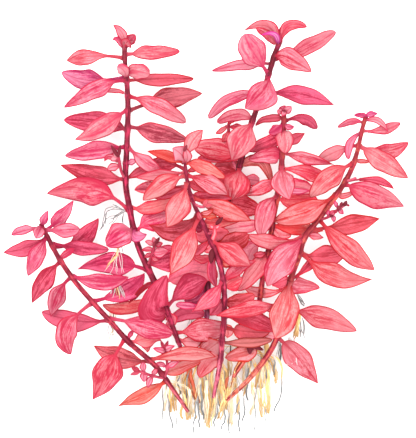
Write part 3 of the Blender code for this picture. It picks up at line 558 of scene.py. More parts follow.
LEFT_SKIN = stem_finish("left", (0.192, 0.02, 0.031), (0.288, 0.012, 0.044), (0.34, 0.022, 0.063),
                        (0.069, 0.003, 0.01), 150)
RIGHT_SKIN = stem_finish("right", (0.216, 0.018, 0.028), (0.293, 0.014, 0.035), (0.194, 0.012, 0.066),
                         (0.057, 0.003, 0.008), 120)
CENTRE_SKIN = stem_finish("centre", (0.25, 0.011, 0.033), (0.289, 0.011, 0.033), (0.372, 0.048, 0.09),
                          (0.086, 0.003, 0.014), 92)
INNER_SKIN = stem_finish("inner", (0.296, 0.025, 0.043), (0.334, 0.022, 0.043), (0.441, 0.068, 0.032),
                         (0.103, 0.005, 0.013), 112)
ARCHING_SKIN = stem_finish("arching", (0.259, 0.017, 0.033), (0.324, 0.024, 0.048), (0.42, 0.1, 0.05),
                           (0.13, 0.008, 0.014), 132)
LEANING_SKIN = stem_finish("leaning", (0.227, 0.015, 0.032), (0.252, 0.017, 0.034), (0.308, 0.031, 0.044),
                           (0.08, 0.003, 0.011), 98)
SHOOT_SKIN = stem_finish("shoot", (0.36, 0.045, 0.08), (0.36, 0.045, 0.08), (0.38, 0.09, 0.12),
                         (0.2, 0.012, 0.03), 40)


class Layers:
    """The vector layers of a bmesh that its pattern reads."""

    def __init__(self, bm: bmesh.types.BMesh, *names: str) -> None:
        """Add the layers to a bmesh, in the order of their names."""
        self.layers = [bm.verts.layers.float_vector.new(name) for name in names]

    def write(self, vert: bmesh.types.BMVert, *values: Spot) -> None:
        """Write one value to each layer at a vertex."""
        for layer, value in zip(self.layers, values):
            vert[layer] = Vector(value)


def leaf_layers(bm: bmesh.types.BMesh) -> Layers:
    """Add the three layers that the leaf pattern reads."""
    return Layers(bm, "leaf_place", "leaf_share", "leaf_tone")


def finished(name: str, bm: bmesh.types.BMesh, finish: Finish, *nodes: str) -> bpy.types.Object:
    """Turn a bmesh into a piece of the bunch that stands for some CAD nodes.

    Args:
        name: Name of the piece.
        bm: The bmesh, which is freed.
        finish: The finish of the piece.
        nodes: The CAD nodes that the piece replaces.

    Returns:
        The piece, smooth shaded and riding on the bunch's one body.
    """
    bmesh.ops.recalc_face_normals(bm, faces=bm.faces)
    mesh = bpy.data.meshes.new(name)
    bm.to_mesh(mesh)
    bm.free()
    mesh.shade_smooth()
    mesh.materials.append(finish.material())
    piece = bpy.data.objects.new(name, mesh)
    bpy.context.scene.collection.objects.link(piece)
    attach(piece, "root")
    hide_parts(*nodes)
    log_line.info("%s: %d faces", name, len(mesh.polygons))
    return piece


def oval(half_width: float, half_height: float, sides: int, lift: float = 0.0) -> Ring:
    """Find the flat points of an oval in millimetres, raised by a lift."""
    turns = [2 * pi * number / sides for number in range(sides)]
    return [(half_width * cos(turn), half_height * sin(turn) + lift) for turn in turns]


def tube(bm: bmesh.types.BMesh, points: list[Vector], rings: list[Ring],
         mark: Callable[[bmesh.types.BMVert, int, float], None]) -> None:
    """Add a closed tube: a grid rolled round a line, sewn along its seam and filled at its ends.

    Args:
        bm: The bmesh that the tube is added to.
        points: The line that the tube follows.
        rings: The flat points of each section in millimetres, the same number in each.
        mark: Writes the layers of a vertex, given its section and its share of the way round.
    """
    sides = len(rings[0])
    last = len(points) - 1
    frames = []
    for number in range(last + 1):
        run = (points[min(number + 1, last)] - points[max(number - 1, 0)]).normalized()
        frames.append(level_frame(run))
    made = bmesh.ops.create_grid(bm, x_segments=sides, y_segments=last, size=1.0)["verts"]
    for vert in made:
        turn = round((vert.co.x + 1) / 2 * sides)
        section = round((vert.co.y + 1) / 2 * last)
        across, above = rings[section][turn % sides]
        side, up = frames[section]
        mark(vert, section, turn / sides)
        vert.co = points[section] + (side * across + up * above) * MM
    bmesh.ops.remove_doubles(bm, verts=made, dist=SEAM_GAP)
    edges = {edge for vert in made if vert.is_valid for edge in vert.link_edges if edge.is_boundary}
    bmesh.ops.holes_fill(bm, edges=list(edges), sides=sides)


@dataclass(frozen=True)
class LeafMesh:
    """How finely a leaf up to a length in millimetres is modelled: its blade's grid and its rib."""

    up_to: float
    steps: int
    columns: int
    rib_steps: int


LEAF_MESHES = (LeafMesh(8, 10, 4, 8), LeafMesh(16, 22, 8, 8), LeafMesh(inf, 40, 14, 20))


@dataclass(frozen=True)
class Leaf:
    """One leaf: its line on the plan, its width in millimetres, and how it is shaped and tinted.

    The line starts at base on the stem, passes through mid halfway and ends at tip; heights are those
    of mid and tip. In hundredths, stalk is the share of the line without a blade, widest where on the
    blade it is widest, and lean how much wider its left side is than its right. In tenths, sway is a
    sideways S bend in millimetres, and blunt and taper are how soon it narrows at its tip and at its
    stalk (less is rounder). In tenths too, tone is its darkness, partly its own colour and partly
    painted light and shade, as leaves that lie in shade are made lighter. fade is how much darker its tip
    is than its stalk end, side how much darker its left side is and heart how much darker its middle is,
    all three painted shade. warmth is its turn from magenta to orange, and the last value is how much
    brighter it is than its tint: painted light that lifts leaves lying in the shade of those above.
    """

    name: str
    base: Plan
    mid: Plan
    tip: Plan
    heights: tuple[float, float]
    width: float
    stalk: float
    widest: float
    lean: float
    sway: float
    blunt: float
    taper: float
    tint: Tint = ROSE
    tone: float = 0
    fade: float = 0
    side: float = 0
    heart: float = 0
    warmth: float = 0
    glow: float = 0

    def start(self, line: Line) -> Vector:
        """Find where the stalk starts, inside the skin of the stem that the line carries.

        Args:
            line: The line of the stem or shoot.

        Returns:
            The point in metres.
        """
        number = line.nearest(self.base)
        run = line.direction(number)
        outward = place(self.mid, self.heights[0]) - line.points[number]
        outward -= run * outward.dot(run)
        return line.points[number] + outward.normalized() * STALK_DEPTH * line.radius * MM

    def run(self, start: Vector) -> Callable[[float], Vector]:
        """Lay the leaf's line.

        Args:
            start: The point where the stalk starts.

        Returns:
            A function that finds the point at a share of the way to the tip.
        """
        middle = place(self.mid, self.heights[0])
        tip = place(self.tip, self.heights[1])
        pull = 2 * middle - (start + tip) / 2
        bend = UP.cross(tip - start).normalized() * self.sway / 10 * MM * SWAY_PEAK

        def point(share: float) -> Vector:
            """Find the point of the line at a share of the way."""
            rest = 1 - share
            return (start * rest ** 2 + pull * 2 * share * rest + tip * share ** 2
                    + bend * share ** 2 * rest)
        return point

    def half_width(self, share: float, along: float, phase: float) -> float:
        """Find the half width of the blade in millimetres.

        Args:
            share: -1 on the right margin to 1 on the left one.
            along: 0 at the stalk to 1 at the tip.
            phase: Where the leaf's waves start, in radians.

        Returns:
            The distance from the midrib to the margin on that side.
        """
        power = log(0.5) / log(self.widest / 100)
        narrowing = (self.taper + (self.blunt - self.taper) * min(1.0, TIP_SHAPING * along)) / 10
        belly = max(0.0, sin(pi * along ** power)) ** narrowing
        side = 1 + self.lean / 100 if share > 0 else 1 - self.lean / 100
        wave_start = LEFT_WAVE_START if share > 0 else RIGHT_WAVE_START
        wave = 1 + MARGIN_RIPPLE * sin(2 * pi * (MARGIN_WAVES * along + wave_start) + phase)
        root = STALK_SPREAD * STALK_HALF_WIDTH * (1 - along) ** STALK_FADING
        return (self.width / 2 * belly * side * wave) + root + LEAF_MARGIN

    def tones(self, share: float, along: float) -> Spot:
        """Find the darkness, warmth and painted light of the blade at a share across and along."""
        parts = (self.tone, self.fade * (2 * along - 1), self.side * share,
                 self.heart * (1 - 2 * abs(share)))
        return sum(parts) / 10, self.warmth / 10, self.glow / 10

    def build(self, bm: bmesh.types.BMesh, layers: Layers, line: Line) -> None:
        """Add the leaf's blade, and its stalk with the rib under the blade, to a bmesh.

        Args:
            bm: The bmesh that the leaf is added to.
            layers: The layers leaf_place, leaf_share and leaf_tone of the bmesh.
            line: The line of the stem or shoot that the leaf grows from.
        """
        chance = Random(self.name + str(self.tip))
        seed = chance.uniform(*SEEDS)
        point = self.run(self.start(line))
        length = (point(1.0) - point(0.0)).length / MM
        fineness = next(mesh for mesh in LEAF_MESHES if length < mesh.up_to)
        self.build_blade(bm, layers, point, length, fineness, seed, chance)
        self.build_rib(bm, layers, point, length, fineness.rib_steps, seed)

    def build_blade(self, bm: bmesh.types.BMesh, layers: Layers, point: Callable[[float], Vector],
                    length: float, fineness: LeafMesh, seed: float, chance: Random) -> None:
        """Add the blade: a grid bent along the leaf's line and given its thickness.

        Args:
            bm: The bmesh that the blade is added to.
            layers: The layers of the bmesh.
            point: The leaf's line.
            length: The length of the line in millimetres.
            fineness: The steps and columns of the grid.
            seed: The leaf's own number, which sets its streaks.
            chance: The leaf's random numbers, after its seed.
        """
        phase = chance.uniform(0, 2 * pi)
        roll = radians(chance.uniform(-ROLL_STRAY, ROLL_STRAY))
        curl = chance.uniform(*CURL)
        ruffle = chance.uniform(*RUFFLE)
        stalk = self.stalk / 100
        made = bmesh.ops.create_grid(bm, x_segments=fineness.columns, y_segments=fineness.steps,
                                     size=1.0)["verts"]
        for vert in made:
            share, along = vert.co.x, (vert.co.y + 1) / 2
            way = stalk + (1 - stalk) * along
            spot = point(way)
            side, up = level_frame((point(min(1.0, way + 0.01)) - point(way - 0.01)).normalized())
            half = self.half_width(share, along, phase)
            across = share * half
            veins = cos(2 * pi * (SIDE_VEINS * along - VEIN_SLANT * abs(share)))
            ruffle_start = LEFT_RUFFLE_START if share > 0 else 0
            pressed = min(1.0, half / FULL_RELIEF_HALF_WIDTH)
            lift = abs(across) * tan(radians(LEAF_FOLD)) - curl * half * share ** 4
            lift += ruffle * half * share ** 2 * sin(RUFFLE_TURN * along + phase + ruffle_start)
            lift -= VEIN_RELIEF * veins * sin(pi * along) * (1 - share ** 2) * pressed
            layers.write(vert, (across, along * length, seed),
                         (share, along, half * (1 - abs(share)) if along < 0.99 else 0.0),
                         self.tones(share, along))
            vert.co = (spot + side * (across * cos(roll) - lift * sin(roll)) * MM
                       + up * (across * sin(roll) + lift * cos(roll)) * MM)
        bmesh.ops.remove_doubles(bm, verts=made, dist=POINT_GAP)
        faces = list({face for vert in made if vert.is_valid for face in vert.link_faces})
        bmesh.ops.recalc_face_normals(bm, faces=faces)
        bmesh.ops.solidify(bm, geom=faces, thickness=LEAF_THICKNESS * MM)

    def build_rib(self, bm: bmesh.types.BMesh, layers: Layers, point: Callable[[float], Vector],
                  length: float, steps: int, seed: float) -> None:
        """Add the stalk and the rib: a tube that flares at the stem and slims towards the tip.

        Args:
            bm: The bmesh that the tube is added to.
            layers: The layers of the bmesh.
            point: The leaf's line.
            length: The length of the line in millimetres.
            steps: The number of sections along the tube.
            seed: The leaf's own number, which sets its streaks.
        """
        stalk = self.stalk / 100
        path, rings = [], []
        for number in range(steps + 1):
            way = number / steps * RIB_END
            wide = max(0.0, 1 - way / RIB_END) ** RIB_SLIMMING
            flare = 1 + FLARE * exp(-way * length / FLARE_LENGTH)
            under_blade = min(1.0, max(0.0, (way - stalk) / RIB_SINKING))
            full = min(1.0, self.width / FULL_STALK_LEAF_WIDTH)
            thick = full * (RIB_TIP + (STALK_HALF_HEIGHT - RIB_TIP) * wide)
            broad = thick * (STALK_HALF_WIDTH / STALK_HALF_HEIGHT)
            broad *= (1 - RIB_NARROWING * under_blade)
            broad *= flare
            path.append(point(way))
            rings.append(oval(broad, thick, RIB_SIDES, -RIB_DROP * thick * under_blade))

        def mark(vert: bmesh.types.BMVert, section: int, turn: float) -> None:
            """Write the layers of the stalk and rib."""
            along = (section / steps * RIB_END - stalk) / (1 - stalk)
            layers.write(vert, (RIB_COLOUR_HALF_WIDTH * cos(2 * pi * turn), along * length, seed),
                         (0.0, along, NO_MARGIN), self.tones(0.0, along))
        tube(bm, path, rings, mark)


@dataclass(frozen=True)
class Bud:
    """A plump bud: its base and tip on the plan with their heights, its width and its tint.

    tone is its darkness in tenths. What is over 10 also takes its brightness down.
    """

    base: Plan
    tip: Plan
    heights: tuple[float, float]
    width: float
    tint: Tint = CRIMSON
    tone: float = 5

    def build(self, bm: bmesh.types.BMesh, layers: Layers, line: Line) -> None:
        """Add the bud to a bmesh, as a sphere drawn out from its base to its tip.

        Args:
            bm: The bmesh that the bud is added to.
            layers: The layers leaf_place, leaf_share and leaf_tone of the bmesh.
            line: The line that the bud grows from, which a leaf needs and a bud doesn't.
        """
        start, tip = place(self.base, self.heights[0]), place(self.tip, self.heights[1])
        run = tip - start
        turned = run.to_track_quat("Z", "Y").to_matrix().to_4x4()
        size = Matrix.Diagonal((self.width / 2 * MM, self.width / 2 * MM, run.length * BUD_STRETCH, 1))
        made = bmesh.ops.create_uvsphere(bm, u_segments=BUD_SIDES, v_segments=BUD_RINGS,
                                         radius=1.0)["verts"]
        shape = Matrix.Translation((start + tip) / 2) @ turned @ size
        dark = self.tone / 10
        for vert in made:
            x, y, z = vert.co
            taper = 1 - BUD_TAPER * max(0.0, z)
            layers.write(vert, (x, z, self.tip[0]), (x, (z + 1) / 2, NO_MARGIN),
                         (dark, 0.0, min(0.0, 1.0 - dark)))
            vert.co = shape @ Vector((x * taper, y * taper, z))


@dataclass(frozen=True)
class Stem:
    """A leafy stem: its line, its side shoots, its large leaves and what is fused to it.

    name is the CAD node of the stem with its small leaves, and the node of a large leaf is named after
    both. top is how thick the stem is at its tip, and growth how much thicker than its full radius at
    its lower end, both as shares of STEM_RADIUS. path runs from the growing tip down, and each shoot
    from the stem to its own tip. Both hold plan places with their heights.
    """

    name: str
    skin: Finish
    top: float
    growth: float
    path: list[Spot]
    shoots: list[list[Spot]]
    leaves: list[Leaf]
    small_leaves: list[Leaf]
    buds: list[Bud]

    def axis(self) -> Line:
        """Lay the stem's line, from its growing tip to its lower end."""
        return Line([place((x, y), height) for x, y, height in self.path], STEM_STEP)

    def shoot_lines(self) -> list[Line]:
        """Lay the lines of the side shoots."""
        return [Line([place((x, y), height) for x, y, height in shoot], SHOOT_STEP, SHOOT_RADIUS)
                for shoot in self.shoots]

    def thickness(self, way: float, length: float) -> float:
        """Find the stem's thickness at a distance from its tip, as a share of its full radius."""
        upper = min(1.0, self.top + way / THICKENING_LENGTH) + self.growth * way / length
        return upper * (1 - END_SLIMMING * max(0.0, 1 - (length - way) / END_LENGTH))

    def build_body(self, name: str, skin: Finish, lines: list[Line], all_lines: list[Line]) -> None:
        """Build the stem or its side shoots: tubes that swell at the nodes where leaves grow.

        Args:
            name: Name of the piece.
            skin: Its finish.
            lines: The lines that it follows.
            all_lines: The lines of the stem and of all its shoots.
        """
        bm = bmesh.new()
        layers = Layers(bm, "stem_place")
        for line in lines:
            nodes = [line.distances[line.nearest(leaf.base)]
                     for leaf in (*self.leaves, *self.small_leaves)
                     if self.carrier(leaf, all_lines) is line]
            main = line is all_lines[0]
            dark = line.humps(nodes, PATCH_RISE, PATCH_LENGTH)
            rings = []
            for way, bulge in zip(line.distances, line.humps(nodes, 0, NODE_LENGTH)):
                thickness = self.thickness(way, line.distances[-1]) if main else 1.0
                radius = line.radius * thickness * (1 + NODE_SWELLING * bulge)
                rings.append(oval(radius, radius, STEM_SIDES if main else SHOOT_SIDES))

            def mark(vert: bmesh.types.BMVert, section: int, turn: float) -> None:
                """Write the layer of the stem."""
                layers.write(vert, (turn, line.distances[section], dark[section]))
            tube(bm, line.points, rings, mark)
        finished(name, bm, skin, self.name)

    def carrier(self, grown: Leaf | Bud, lines: list[Line]) -> Line:
        """Find the line that a leaf or a bud grows from: the one nearest to its base."""
        return min(lines, key=lambda line: line.gap(grown.base))

    def build_leaves(self, axis: Line) -> None:
        """Build each large leaf as a piece of its own.

        Args:
            axis: The stem's line.
        """
        for leaf in self.leaves:
            bm = bmesh.new()
            leaf.build(bm, leaf_layers(bm), axis)
            node = self.name.replace("stem", "leaf_") + leaf.name
            finished(node.replace("_leaf_", "_blade_"), bm, leaf.tint.value, node)

    def build_small_leaves(self, lines: list[Line]) -> None:
        """Build the small leaves and buds, as one piece of each tint.

        Args:
            lines: The lines of the stem and of its shoots.
        """
        for tint in Tint:
            matching = [part for part in (*self.small_leaves, *self.buds) if part.tint is tint]
            if not matching:
                continue
            bm = bmesh.new()
            layers = leaf_layers(bm)
            for part in matching:
                part.build(bm, layers, self.carrier(part, lines))
            name = self.name.replace("stem", f"small_leaves_{tint.name.lower()}")
            finished(name, bm, tint.value, self.name)

    def build(self) -> None:
        """Build and dress the whole stem."""
        lines = [self.axis(), *self.shoot_lines()]
        self.build_body(self.name.replace("stem", "stem_skin"), self.skin, lines[:1], lines)
        if self.shoots:
            self.build_body(self.name.replace("stem", "side_shoots"), SHOOT_SKIN, lines[1:], lines)
        self.build_leaves(lines[0])
        self.build_small_leaves(lines)


LEFT_TALL_LEAVES = [
    Leaf("pair_1_left", (124.5, 56.5), (92, 55.5), (66.5, 60.5), (23, 15), 8.2, 22, 57, 6, 4, 9, 12, ROSE,
         -3, 3, -1, 0, 2),
    Leaf("pair_1_right", (124.5, 56), (150, 52.5), (180, 51), (23, 17), 7.3, 15, 43, 12, -5, 5, 12, SALMON,
         2, 7, -3, -1, -1),
    Leaf("pair_2_left", (127, 80), (97, 87), (63.5, 107.5), (25, 13), 8.8, 20, 39, 6, 8, 7, 19, ROSE, -1, -1,
         -3, 1, -1),
    Leaf("pair_3_right", (128, 95.5), (158.5, 106.5), (186, 122.5), (28, 22), 8.6, 12, 46, 10, -5, 5, 12,
         ROSE, -5, -6, 3, 3, 1),
    Leaf("pair_4_left", (128, 110), (103, 124), (74.5, 139.5), (28, 19), 10.3, 12, 44, -3, 15, 9, 10, SALMON,
         1, -7, -2, 6, -2),
    Leaf("pair_4_right", (128, 111), (165, 99), (202.5, 93), (16, 8), 10.7, 29, 38, -3, 1, 8, 13, MAUVE, -4,
         -6, -2, -7, 1, -1),
    Leaf("pair_5_right", (127.5, 128), (158.5, 132.5), (188.5, 140), (23, 16), 9.8, 12, 38, -12, 2, 7, 18,
         MAUVE, 0, -3, -3, 3),
    Leaf("pair_6_left", (127, 148), (92, 150.5), (64.5, 155.5), (25, 12), 9.2, 9, 37, -5, 7, 7, 15, ROSE, 4,
         -1, -7, 4, -2),
    Leaf("pair_7_left", (126, 178.5), (94, 175.5), (59.5, 164.5), (16, 5), 10, 5, 44, -1, -3, 9, 17, CRIMSON,
         0, 6, 7, -3, 1),
    Leaf("pair_8_left", (129, 211), (95.5, 191.5), (46, 193.5), (20, 0.25), 13.7, 23, 42, 8, -3, 8, 22,
         CORAL, 4, -7, -7, -7, -2),
    Leaf("pair_9_front", (134.5, 230), (123.5, 235.5), (106.5, 246), (31, 26), 12.4, 7, 49, -18, -1, 5, 13,
         VIOLET, -1, 7, 2, 4, 3, 2),
    Leaf("pair_10_left", (147, 269.5), (111.5, 263), (77, 269.5), (17, 9), 11.5, 17, 32, 5, -1, 11, 15,
         CRIMSON, -2, -7, -7, 7, -3, 3),
    Leaf("pair_12_front", (166.5, 309), (156, 304.5), (167, 275), (34, 33), 16, 2, 33, 17, -5, 6, 14,
         CRIMSON, 8, -1, 0, -6, -1, 1),
]

LEFT_TALL_SMALL_LEAVES = [
    Leaf("pair_2_right", (127, 80.5), (155, 79.5), (194, 78.5), (22, 15), 6.5, 17, 46, -16, 3, 5, 14,
         CRIMSON, -12, 7, -1, 7, 2, -1),
    Leaf("pair_5_left", (128, 129), (100.5, 122), (63, 119.5), (12, 0.25), 10.8, 6, 51, -1, 4, 6, 10,
         CRIMSON, 0, 3, -6, 0, -1, 1),
    Leaf("tip_hook", (124, 47), (123, 33), (113, 25), (25, 24), 4.8, 6, 46, 13, 4, 9, 18, CORAL, -9, 7, 7,
         -7, -2),
    Leaf("tip_right", (124, 47), (131.5, 39), (135.5, 34.5), (25, 24), 5, 8, 42, 2, -1, 9, 15, ROSE, 6, 7, 7,
         -4, 0, -1),
    Leaf("tip_left", (124, 47), (118, 41.5), (112.5, 40), (23, 22), 3.1, 2, 42, -10, -7, 5, 15, ROSE, -3, 7,
         -7, 0, -2, 1),
    Leaf("tip_lobe", (124.5, 50), (125, 42), (131.5, 48.5), (28, 27), 4, 10, 47, -1, 0, 5, 15, SALMON, -4, 3,
         7, -4, -1, -2),
    Leaf("fold_right", (126, 75), (138, 71.5), (150, 74.5), (30, 29), 8, 2, 50, 5, -3, 4, 6, SALMON, -2, -3,
         7, -1, -2),
    Leaf("fold_left", (126, 77), (123.5, 70.5), (117, 67), (28, 28), 5.8, 3, 50, 0, 0, 4, 7, SALMON, -9, 7,
         -7, -1, -3, 1),
    Leaf("pair_2_behind", (126.5, 76), (92, 79), (61.5, 71.5), (15, 9), 10.2, 31, 38, -3, 8, 6, 15, VIOLET,
         -2, -4, -5, -6, -1),
    Leaf("pair_3_left", (128, 95), (116, 89.5), (93.5, 90.5), (17, 14), 2.4, 20, 50, -8, 8, 8, 12, ROSE, -12,
         -7, 2, -7, 1, 3),
    Leaf("pair_6_right", (128, 147), (144.5, 161), (161, 169), (28, 30), 7.6, 17, 49, -1, -4, 8, 11, ROSE,
         -7, 7, 2, 7),
    Leaf("pair_7_right", (126.5, 180), (138.5, 172), (152, 165.5), (17, 14), 4.5, 10, 49, -9, 1, 6, 12,
         CRIMSON, -4, 6, -5, -6, 1, 2),
    Leaf("pair_8_right", (129, 209), (152.5, 208.5), (179, 198.5), (22, 20), 7.1, 12, 45, 2, 5, 6, 12,
         ORANGE, -4, -7, 0, -4, -2, 3),
    Leaf("pair_9_lobe", (134.5, 230), (137, 234), (147, 234), (29, 28), 6.4, 7, 49, -13, -6, 9, 17, VIOLET,
         -7, -7, -5, -1, -2),
    Leaf("pair_9_right", (134.5, 231.5), (148.5, 220.5), (170, 214), (18, 15), 10.4, 17, 48, -2, -10, 5, 20,
         ROSE, 2, -7, -4, -3, -1, 8),
    Leaf("pair_10_right", (148, 267), (166, 259), (178, 259.5), (20, 16), 13.4, 6, 43, -11, 11, 5, 14,
         CRIMSON, -1, 7, -7, 7, -1, 5),
    Leaf("pair_11_left", (154.5, 283.5), (142, 287.5), (128.5, 303.5), (22.5, 21), 2.2, 5, 48, -1, 7, 5, 8,
         CRIMSON, 12, 7, -1, -1, 1, -1),
    Leaf("pair_11_arch", (155, 285.5), (197, 271), (214.5, 280.5), (20, 22), 13.5, 12, 34, 1, -5, 5, 11,
         MAUVE, -12, -7, 7, 2, -1, 8),
    Leaf("pair_12_orange", (148.5, 300), (125.5, 308.5), (102.5, 304.5), (20, 17), 6.6, 11, 42, -4, 0, 7, 9,
         ORANGE, 2, -2, 5, 0, -1),
    Leaf("pair_12_stalk", (154.5, 284), (142.5, 290), (134, 300.5), (22, 19), 1.4, 2, 48, 1, 2, 5, 7,
         CRIMSON, -8, 0, -7, 0, 0, -1),
    Leaf("pair_12_low", (168.5, 312), (160.5, 318), (146, 323), (18, 14), 3.8, 10, 46, -1, 0, 9, 15, ORANGE),
    Leaf("pair_12_right", (167, 308), (187, 288.5), (207.5, 280), (27, 30), 12.3, 15, 52, 8, -2, 9, 10,
         CRIMSON, 5, 7, -2, -7, -1, 1),
    Leaf("pair_13_right", (175.5, 332), (202, 331), (230, 330.5), (20, 18), 12, 10, 46, -2, 5, 5, 18, ROSE,
         0, -7, -1, -3, 2, 1),
    Leaf("pair_12_middle", (167.5, 309), (170.5, 320.5), (164.5, 326), (17, 14), 6, 12, 42, 9, 2, 8, 15,
         ROSE, 1, -7, 7, 4, 1, 8),
    Leaf("pair_14_right", (179, 342.5), (192, 340), (195.5, 336), (15, 14), 7.1, 5, 43, -15, -11, 5, 16,
         ROSE, -11, 7, 7, 1, 3, 6),
    Leaf("shoot_1_right", (126.5, 165), (132, 162), (136.5, 160), (25, 25), 3, 14, 41, 4, 0, 7, 14, SALMON,
         -12, -7, 7, -2, -7),
    Leaf("shoot_1_middle", (119, 158), (113.5, 157), (112, 156), (27, 26), 4.8, 3, 39, 1, -2, 7, 13, SALMON,
         -12, 7, -7, 3, -3),
    Leaf("shoot_1_left", (119, 161.5), (110.5, 158.5), (104.5, 161.5), (27, 26), 2.9, 5, 45, -12, -8, 6, 15,
         ROSE, -2, 7, 7, 7, 0, -1),
    Leaf("shoot_1_low", (120, 165), (113, 167.5), (107, 170.5), (26, 25), 4.1, 2, 46, 6, -3, 8, 11, ROSE,
         -12, -7, 0, 6),
    Leaf("shoot_2_left", (153.5, 249.5), (147.5, 249), (142, 250.5), (29, 28), 2.5, 3, 44, 0, 1, 6, 10, ROSE,
         -1, 6, 4, -3),
    Leaf("shoot_2_side", (153, 252.5), (159.5, 252.5), (170.5, 250.5), (28.5, 27), 6.2, 7, 45, 3, 2, 11, 12,
         ROSE, 0, -2, 2, -7, -1, 3),
    Leaf("shoot_2_top", (155.5, 244), (154.5, 240.5), (153, 237), (31, 31), 2.3, 7, 50, 0, 1, 7, 13, ROSE,
         -12, -7, 5),
    Leaf("shoot_2_pale", (154.5, 245.5), (150.5, 243.5), (145, 241.5), (30, 29), 2.6, 4, 50, -5, -3, 6, 12,
         SALMON, -12, -7, 0, -2, -3),
    Leaf("shoot_2_right", (154.5, 245.5), (159, 245), (163, 243), (30, 30), 2.7, 8, 51, 3, 3, 7, 13, ROSE, 1,
         5, 2, 1, 0, 1),
    Leaf("shoot_2_low", (152, 254), (148, 255), (144.5, 257.5), (28, 27), 2.3, 8, 51, 3, 1, 8, 12, ROSE, 3,
         3, 0, -6, 0, -1),
    Leaf("shoot_2_under", (151.5, 256), (155, 259.5), (160, 259.5), (28, 27), 2.2, 8, 50, 0, 0, 9, 13, ROSE,
         -12, -7, 7, 7),
]

LEFT_TALL = Stem(
    "left_tall_stem", LEFT_SKIN, 0.8, 0.3,
    path=[(124.5, 41, 22), (125, 61.5, 22), (127, 84, 22), (128, 110.5, 22), (127, 144, 22),
          (125.5, 179, 22), (129, 205, 22), (138, 245.5, 23), (155, 283, 24),
          (167.5, 312.5, 24), (174, 330.5, 22), (180.5, 347, 19)],
    shoots=[[(125, 179, 22), (121.3, 171, 25), (118.3, 156, 27)],
            [(148, 265, 24), (151, 257, 27), (153.5, 250, 28.5), (155.5, 243, 30)]],
    leaves=LEFT_TALL_LEAVES,
    small_leaves=LEFT_TALL_SMALL_LEAVES,
    buds=[
        Bud((118.3, 157), (111.6, 146), (28, 28), 2, MAUVE, 14),
        Bud((118.3, 157), (120.5, 145.6), (28, 28), 2, MAUVE, 14),
        Bud((155.5, 243.5), (159.5, 237.5), (31, 32), 1.9, MAUVE, 14),
        Bud((153.5, 247), (155.5, 242), (31, 31.5), 1.9, MAUVE, 12),
    ],
)

RIGHT_TALL_LEAVES = [
    Leaf("pair_1_front", (268.5, 75), (255, 54.5), (244.5, 34.5), (36, 36), 13.6, 17, 50, 1, 2, 5, 10,
         SALMON, 2, -3, -5, 7, -4),
    Leaf("pair_2_right", (273.5, 56), (288.5, 58), (311.5, 72), (32, 26), 10.3, 6, 48, -3, 0, 7, 12, ROSE,
         -2, -7, -3, 3, 1),
    Leaf("pair_3_front", (268, 77.5), (264, 90.5), (245, 109), (34, 31), 14.6, 5, 58, 20, -3, 8, 16, ROSE, 2,
         -7, -3, 3, -1),
    Leaf("pair_3_left", (262, 94.5), (233, 99), (208.5, 118.5), (20, 13), 6.2, 3, 52, 0, -5, 4, 12, ROSE, -3,
         -7, 6, 1, -1),
    Leaf("pair_3_right", (262, 94.5), (300, 93), (334.5, 105), (20, 12), 9.3, 13, 47, -5, -5, 10, 17,
         CRIMSON, -6, -6, -3, 7, -2),
    Leaf("pair_4_front", (251, 123.5), (242, 142), (231.5, 161.5), (31, 25), 14.4, 2, 46, -12, 2, 10, 14,
         SALMON, -2, -3, -2, 6, -1),
    Leaf("pair_6_front", (239, 168), (237.5, 183.5), (231.5, 200.5), (27, 24), 16.9, 3, 50, -13, -2, 8, 16,
         CORAL, 5, -5, -4, -4, 0, 1),
]

